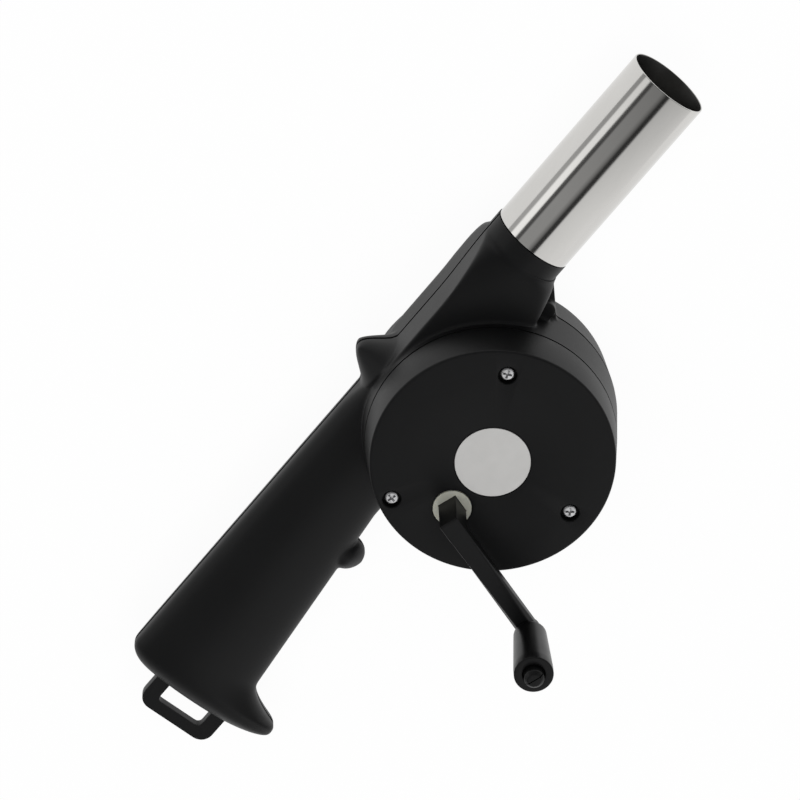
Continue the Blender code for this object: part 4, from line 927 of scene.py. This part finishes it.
class Value:
    """A number that varies over a surface; sums and products add their Math nodes."""

    def __init__(self, graph, socket):
        self.graph = graph
        self.socket = socket

    __add__, __radd__ = operator_pair("ADD")
    __sub__, __rsub__ = operator_pair("SUBTRACT")
    __mul__, __rmul__ = operator_pair("MULTIPLY")

    def at_least(self, other):
        return self.graph.maths("MAXIMUM", self, other)


class Graph:
    """Nodes of one material or world."""

    def __init__(self, tree):
        self.tree = tree
        tree.nodes.clear()

    def node(self, kind, settings=None, sockets=None):
        made = self.tree.nodes.new(kind)
        for name, value in (settings or {}).items():
            if name == "stops":
                self.set_stops(made.color_ramp, value)
            else:
                setattr(made, name, value)
        for name, value in (sockets or {}).items():
            self.feed(self.socket(made.inputs, name), value)
        return made

    def set_stops(self, ramp, stops):
        while len(ramp.elements) < len(stops):
            ramp.elements.new(1.0)
        for element, (place, colour) in zip(ramp.elements, stops):
            element.position = place
            element.color = (*colour, 1)

    def socket(self, sockets, name):
        if isinstance(name, int):
            return sockets[name]
        for socket in sockets:
            if name in (socket.identifier, socket.name) and socket.enabled:
                return socket
        raise KeyError(f"no socket named {name}")

    def feed(self, socket, value):
        if isinstance(value, Value):
            self.tree.links.new(value.socket, socket)
        elif isinstance(value, bpy.types.NodeSocket):
            self.tree.links.new(value, socket)
        else:
            socket.default_value = value

    def value(self, made, name=0):
        return Value(self, self.socket(made.outputs, name))

    def maths(self, operation, first, second=0.0):
        made = self.node("ShaderNodeMath", {"operation": operation}, {0: first, 1: second})
        return self.value(made)

    def place(self, stretch=(1, 1, 1)):
        """Coordinates in metres, stretched along the axes."""
        where = self.node("ShaderNodeTexCoord").outputs["Object"]
        return self.node("ShaderNodeVectorMath", {"operation": "MULTIPLY"},
                         {0: where, 1: stretch}).outputs[0]

    def noise(self, size, detail=2.0, rough=0.5, stretch=(1, 1, 1)):
        made = self.node("ShaderNodeTexNoise", None, {
            "Vector": self.place(stretch), "Scale": 1 / size, "Detail": detail,
            "Roughness": rough})
        return self.value(made)

    def spread(self, value, low, high, new_low=0.0, new_high=1.0):
        made = self.node("ShaderNodeMapRange", None, {
            "Value": value, "From Min": low, "From Max": high, "To Min": new_low,
            "To Max": new_high})
        return self.value(made)

    def blend(self, share, first, second):
        made = self.node("ShaderNodeMix", {"data_type": "RGBA"}, {
            "Factor_Float": share, "A_Color": first, "B_Color": second})
        return self.socket(made.outputs, "Result_Color")

    def bump(self, height, distance):
        made = self.node("ShaderNodeBump", None, {
            "Strength": 1.0, "Distance": distance, "Height": height})
        return made.outputs["Normal"]

    def finish(self, sockets):
        shader = self.node("ShaderNodeBsdfPrincipled", None, sockets)
        self.node("ShaderNodeOutputMaterial", None, {"Surface": shader.outputs[0]})


def opaque(colour, factor=1.0):
    return (*(min(part * factor, 1.0) for part in colour), 1.0)


def new_material(name):
    material = bpy.data.materials.new(name)
    material.use_nodes = True
    return material, Graph(material.node_tree)


def moulded_plastic(name, colour, grain, roughness, depth):
    """Black plastic with fine moulded grain, faint flow marks and hand-worn sheen."""
    material, graph = new_material(name)
    grains = graph.noise(grain, 2.0, 0.6)
    flow = graph.noise(0.035, 3.0, 0.55)
    scuffs = graph.noise(0.006, 5.0, 0.7)
    worn = graph.spread(scuffs, 0.60, 0.78)
    shade = graph.spread(flow, 0.3, 0.7) * 0.5 + grains * 0.5
    tint = graph.blend(shade, opaque(colour, 0.82), opaque(colour, 1.25))
    gloss = roughness + (flow - 0.5) * 0.10 + (grains - 0.5) * 0.08 - worn * 0.05
    graph.finish({
        "Base Color": tint, "Roughness": gloss, "Specular IOR Level": 0.23,
        "Normal": graph.bump(grains, depth)})
    return material


def smooth_plastic(name, colour, roughness):
    """Knob plastic: turned smooth by the palm, with fine scratches."""
    material, graph = new_material(name)
    cloud = graph.noise(0.008, 3.0, 0.6)
    scratches = graph.noise(0.0012, 4.0, 0.75, (1, 1, 0.12))
    tint = graph.blend(cloud, opaque(colour, 0.8), opaque(colour, 1.3))
    gloss = roughness + (cloud - 0.5) * 0.12 + graph.spread(scratches, 0.62, 0.8) * 0.1
    graph.finish({
        "Base Color": tint, "Roughness": gloss, "Specular IOR Level": 0.22,
        "Normal": graph.bump(scratches, 0.000005)})
    return material


def nylon(name, colour):
    """Natural nylon: creamy, slightly cloudy and soft in its gloss."""
    material, graph = new_material(name)
    cloud = graph.noise(0.004, 4.0, 0.6)
    fine = graph.noise(0.0005, 2.0, 0.5)
    tint = graph.blend(graph.spread(cloud, 0.3, 0.7), opaque(colour, 0.9), opaque(colour, 1.05))
    graph.finish({
        "Base Color": tint, "Roughness": 0.42 + (cloud - 0.5) * 0.2,
        "Subsurface Weight": 0.12, "Subsurface Radius": (0.0012, 0.0009, 0.0005),
        "Normal": graph.bump(fine, 0.00001)})
    return material


def polished_tube(name, colour):
    """Stainless tube: polished along its length outside, darker and duller inside."""
    material, graph = new_material(name)
    lines = graph.noise(0.0006, 3.0, 0.6, (0.02, 1, 1))
    smears = graph.noise(0.012, 4.0, 0.6, (0.3, 1, 1))
    spots = graph.noise(0.0016, 2.0, 0.6)
    scuffs = graph.spread(spots, 0.66, 0.78) * graph.spread(smears, 0.5, 0.7)
    bright = graph.blend(graph.spread(smears, 0.3, 0.8), opaque(colour, 0.96),
                         opaque(colour, 1.05))
    away = graph.node("ShaderNodeVectorMath", {"operation": "SUBTRACT"}, {
        0: graph.place((0, 1, 1)), 1: (0, TUBE_Y, PARTING_Z)}).outputs[0]
    radius = graph.value(graph.node("ShaderNodeVectorMath", {"operation": "LENGTH"}, {0: away}),
                         "Value")
    # within is 1 on the tube's inside surface, whose colour is darkened and roughness raised
    within = graph.spread(radius, TUBE_RADIUS - TUBE_WALL * 0.8, TUBE_RADIUS - TUBE_WALL * 0.6,
                          1.0, 0.0)
    tint = graph.blend(within, bright, opaque(colour, 0.3))
    gloss = 0.07 + graph.spread(smears, 0.35, 0.75) * 0.05 + lines * 0.03 + scuffs * 0.15
    graph.finish({
        "Base Color": tint, "Metallic": 1.0, "Roughness": gloss + within * 0.25,
        "Normal": graph.bump(lines, 0.000003)})
    return material


def bare_metal(name, colour, roughness, blotch):
    """Plated or drawn metal with blotches of duller surface."""
    material, graph = new_material(name)
    patches = graph.noise(blotch, 4.0, 0.65)
    fine = graph.noise(blotch / 6, 3.0, 0.6)
    tint = graph.blend(graph.spread(patches, 0.35, 0.7), opaque(colour), opaque(colour, 0.8))
    gloss = roughness + graph.spread(patches, 0.4, 0.75) * 0.18 + (fine - 0.5) * 0.08
    graph.finish({
        "Base Color": tint, "Metallic": 1.0, "Roughness": gloss,
        "Normal": graph.bump(fine, 0.000008)})
    return material


def label_film(name, colour):
    """Satin white film, bare, a little uneven where it is rubbed."""
    material, graph = new_material(name)
    cloud = graph.noise(0.007, 4.0, 0.6)
    fibre = graph.noise(0.0004, 2.0, 0.6)
    tint = graph.blend(graph.spread(cloud, 0.35, 0.7), opaque(colour), opaque(colour, 0.95))
    graph.finish({
        "Base Color": tint, "Roughness": 0.36 + (cloud - 0.5) * 0.15,
        "Normal": graph.bump(fibre, 0.000006)})
    return material


# Stage

def seen_as_background(graph):
    """1 for rays that show the background: from the camera, off metal and through glass."""
    path = graph.node("ShaderNodeLightPath")
    camera = graph.value(path, "Is Camera Ray")
    glossy = graph.value(path, "Is Glossy Ray")
    passed = graph.value(path, "Is Transmission Ray")
    return camera.at_least(glossy).at_least(passed)


def floor_material(settings):
    material, graph = new_material("studio_floor")
    paper = graph.noise(0.05, 3.0, 0.5)
    tint = graph.blend(paper, opaque(settings.floor_colour, 0.99), opaque(settings.floor_colour))
    matte = graph.node("ShaderNodeBsdfDiffuse", None, {"Color": tint})
    white = graph.node("ShaderNodeEmission", None, {"Color": (1, 1, 1, 1), "Strength": 1.0})
    both = graph.node("ShaderNodeMixShader", None, {
        0: seen_as_background(graph) * settings.floor_glow, 1: matte.outputs[0],
        2: white.outputs[0]})
    graph.node("ShaderNodeOutputMaterial", None, {"Surface": both.outputs[0]})
    return material


def add_floor(settings):
    bm = bmesh.new()
    bmesh.ops.create_grid(bm, x_segments=1, y_segments=1, size=settings.floor_size / 2)
    floor = from_bmesh("studio_floor", bm)
    floor.location = (0, 0, -FLOOR_GAP)
    floor.data.materials.append(floor_material(settings))


def build_world(settings):
    """Light panels with dark gaps along X overhead, and white where it is the background.

    A polished surface along X shows the panels as streaks.
    """
    world = bpy.data.worlds.new("studio_world")
    world.use_nodes = True
    bpy.context.scene.world = world
    graph = Graph(world.node_tree)
    where = graph.node("ShaderNodeTexCoord").outputs["Generated"]
    parts = graph.node("ShaderNodeSeparateXYZ", None, {"Vector": where})
    along, across, height = (graph.value(parts, name) for name in "XYZ")
    turn = graph.maths("ARCTAN2", across, height)
    stops = [(0.5 + degrees / 180, (level, level, level)) for degrees, level in PANEL_STOPS]
    panels = graph.value(graph.node("ShaderNodeValToRGB", {"stops": stops}, {
        "Fac": graph.spread(turn, -math.pi / 2, math.pi / 2)}), "Color")
    far = graph.maths("ABSOLUTE", along - PANEL_X)
    dimming = graph.spread(far, PANEL_REACH[0], PANEL_REACH[1], settings.panels,
                           settings.panels * PANEL_END_LEVEL)
    horizon = graph.spread(height, 0.0, 0.05, 1.0, 0.0)
    camera = graph.value(graph.node("ShaderNodeLightPath"), "Is Camera Ray")
    strength = (panels * dimming).at_least(horizon).at_least(camera)
    background = graph.node("ShaderNodeBackground", None, {
        "Color": (1, 1, 1, 1), "Strength": strength})
    graph.node("ShaderNodeOutputWorld", None, {"Surface": background.outputs[0]})


def add_fill(power):
    """Large square lamp that points down; polished surfaces and the camera don't see it."""
    data = bpy.data.lights.new("fill_lamp", "AREA")
    data.energy = power
    data.size = FILL_SIZE
    lamp = bpy.data.objects.new("fill_lamp", data)
    lamp.location = FILL_PLACE
    lamp.visible_camera = lamp.visible_glossy = False
    bpy.context.scene.collection.objects.link(lamp)


class BLOWER_OT_stage(bpy.types.Operator):
    """Lay the floor, hang the lamp and set the camera at the picture's angle"""
    bl_idname = "blower.stage"
    bl_label = "Stage"

    def execute(self, context):
        settings = context.scene.blower_stage
        add_floor(settings)
        build_world(settings)
        add_fill(settings.fill_power)
        right, up = Vector(CAMERA_RIGHT), Vector(CAMERA_UP)
        axes = Matrix((right, up, right.cross(up))).transposed().to_4x4()
        data = bpy.data.cameras.new("camera")
        data.lens = CAMERA_LENS
        data.clip_end = CAMERA_CLIP_END
        camera = bpy.data.objects.new("camera", data)
        camera.matrix_world = Matrix.Translation(CAMERA_PLACE) @ axes
        context.scene.collection.objects.link(camera)
        context.scene.camera = camera
        context.scene.view_settings.view_transform = "Standard"
        return {"FINISHED"}


def finish_named(name):
    """The material of a finish, made once."""
    if name not in bpy.data.materials:
        colours = bpy.context.scene.blower_finish
        makers = {
            "black_shell_plastic": lambda: moulded_plastic(
                name, colours.shell_black, colours.grain, roughness=0.46, depth=0.00002),
            "black_crank_plastic": lambda: moulded_plastic(
                name, colours.shell_black, colours.grain, roughness=0.40, depth=0.00001),
            "black_knob_plastic": lambda: smooth_plastic(
                name, colours.knob_black, roughness=0.32),
            "natural_nylon": lambda: nylon(name, colours.nylon),
            "nozzle_stainless": lambda: polished_tube(name, colours.stainless),
            "screw_zinc": lambda: bare_metal(name, colours.zinc, roughness=0.26, blotch=0.0016),
            "drawn_steel": lambda: bare_metal(
                name, colours.stainless, roughness=0.25, blotch=0.002),
            "sintered_brass": lambda: bare_metal(name, colours.brass, roughness=0.4, blotch=0.001),
            "label_film": lambda: label_film(name, colours.label_white)}
        makers[name]()
    return bpy.data.materials[name]


class BLOWER_OT_housing(bpy.types.Operator):
    """Mould the handle, duct and drum, part them in two halves and hollow them"""
    bl_idname = "blower.housing"
    bl_label = "Housing Halves"

    def execute(self, context):
        body = moulding(context.scene.blower_moulding)
        cavity = air_way()
        shown(front_half(twin(body), twin(cavity)), "front_shell")
        shown(rear_half(body, cavity), "rear_shell")
        return {"FINISHED"}


class BLOWER_OT_cover(bpy.types.Operator):
    """Turn the gear cover and its bare round label"""
    bl_idname = "blower.cover"
    bl_label = "Cover and Label"

    def execute(self, context):
        shown(cover_shape(), "gear_cover")
        shown(label_shape(), "centre_label")
        return {"FINISHED"}


class BLOWER_OT_nozzle(bpy.types.Operator):
    """Form the thin steel nozzle tube"""
    bl_idname = "blower.nozzle"
    bl_label = "Nozzle Tube"

    def execute(self, context):
        shown(tube_shape(), "nozzle_tube")
        return {"FINISHED"}


class BLOWER_OT_screws(bpy.types.Operator):
    """Set the cross-recessed screws of the cover and the housing"""
    bl_idname = "blower.screws"
    bl_label = "Screws"

    def execute(self, context):
        cover_seat = DRUM_DEPTH - COVER_SCREW_DEPTH + COVER_SCREW_LIFT
        shell_seat = SHELL_SCREW_SEAT_Z - 2 * SEAT_GAP
        kinds = (("cover_screw", COVER_SCREW_SPOTS, cover_seat, -1, 0.4, 0.9),
                 ("shell_screw", SHELL_SCREW_SPOTS, shell_seat, 1, 0.3, 1.1))
        for kind, spots, seat, up, turn, step in kinds:
            for i, spot in enumerate(spots):
                shown(screw_shape(spot, seat, up, turn + step * i), f"{kind}_{i + 1}")
        return {"FINISHED"}


class BLOWER_OT_crank(bpy.types.Operator):
    """Mould the crank's arm and its turning knob"""
    bl_idname = "blower.crank"
    bl_label = "Crank and Knob"

    def execute(self, context):
        shown(arm_shape(context.scene.blower_moulding), "crank_arm")
        shown(knob_shape(), "crank_knob")
        return {"FINISHED"}


class BLOWER_OT_inner_finishes(bpy.types.Operator):
    """Give the solids inside the housing their finishes"""
    bl_idname = "blower.inner_finishes"
    bl_label = "Inner Finishes"

    def execute(self, context):
        finishes = {
            "impeller": "black_shell_plastic", "crank_gear": "natural_nylon",
            "idler_gear": "natural_nylon", "fan_pinion": "natural_nylon",
            "idler_pin": "drawn_steel", "fan_shaft": "drawn_steel",
            "shaft_clip": "drawn_steel", "front_bush": "sintered_brass",
            "rear_bush": "sintered_brass"}
        for node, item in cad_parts.items():
            item.data.materials.clear()
            item.data.materials.append(finish_named(finishes.get(node, "screw_zinc")))
        return {"FINISHED"}


class BLOWER_PT_panel(bpy.types.Panel):
    """Sizes, colours and build steps of the blower"""
    bl_idname = "BLOWER_PT_panel"
    bl_label = "Barbecue Blower"
    bl_space_type = "VIEW_3D"
    bl_region_type = "UI"
    bl_category = "Blower"

    def draw(self, context):
        layout = self.layout
        for group in SETTINGS:
            settings = getattr(context.scene, group)
            box = layout.box()
            for name in settings.bl_rna.properties.keys():
                if name not in ("rna_type", "name"):
                    box.prop(settings, name)
        for operator in STEPS:
            layout.operator(operator.bl_idname)


SETTINGS = {"blower_moulding": MouldingSettings, "blower_finish": FinishSettings,
            "blower_stage": StageSettings}
STEPS = (BLOWER_OT_stage, BLOWER_OT_housing, BLOWER_OT_cover, BLOWER_OT_nozzle,
         BLOWER_OT_screws, BLOWER_OT_crank, BLOWER_OT_inner_finishes)


def register():
    for kind in (*SETTINGS.values(), *STEPS, BLOWER_PT_panel):
        bpy.utils.register_class(kind)
    for name, kind in SETTINGS.items():
        setattr(bpy.types.Scene, name, bpy.props.PointerProperty(type=kind))


def unregister():
    for name in SETTINGS:
        delattr(bpy.types.Scene, name)
    for kind in (BLOWER_PT_panel, *reversed(STEPS), *SETTINGS.values()):
        bpy.utils.unregister_class(kind)


def main():
    register()
    for operator in STEPS:
        group, name = operator.bl_idname.split(".")
        getattr(getattr(bpy.ops, group), name)()


if __name__ == "__main__":
    main()
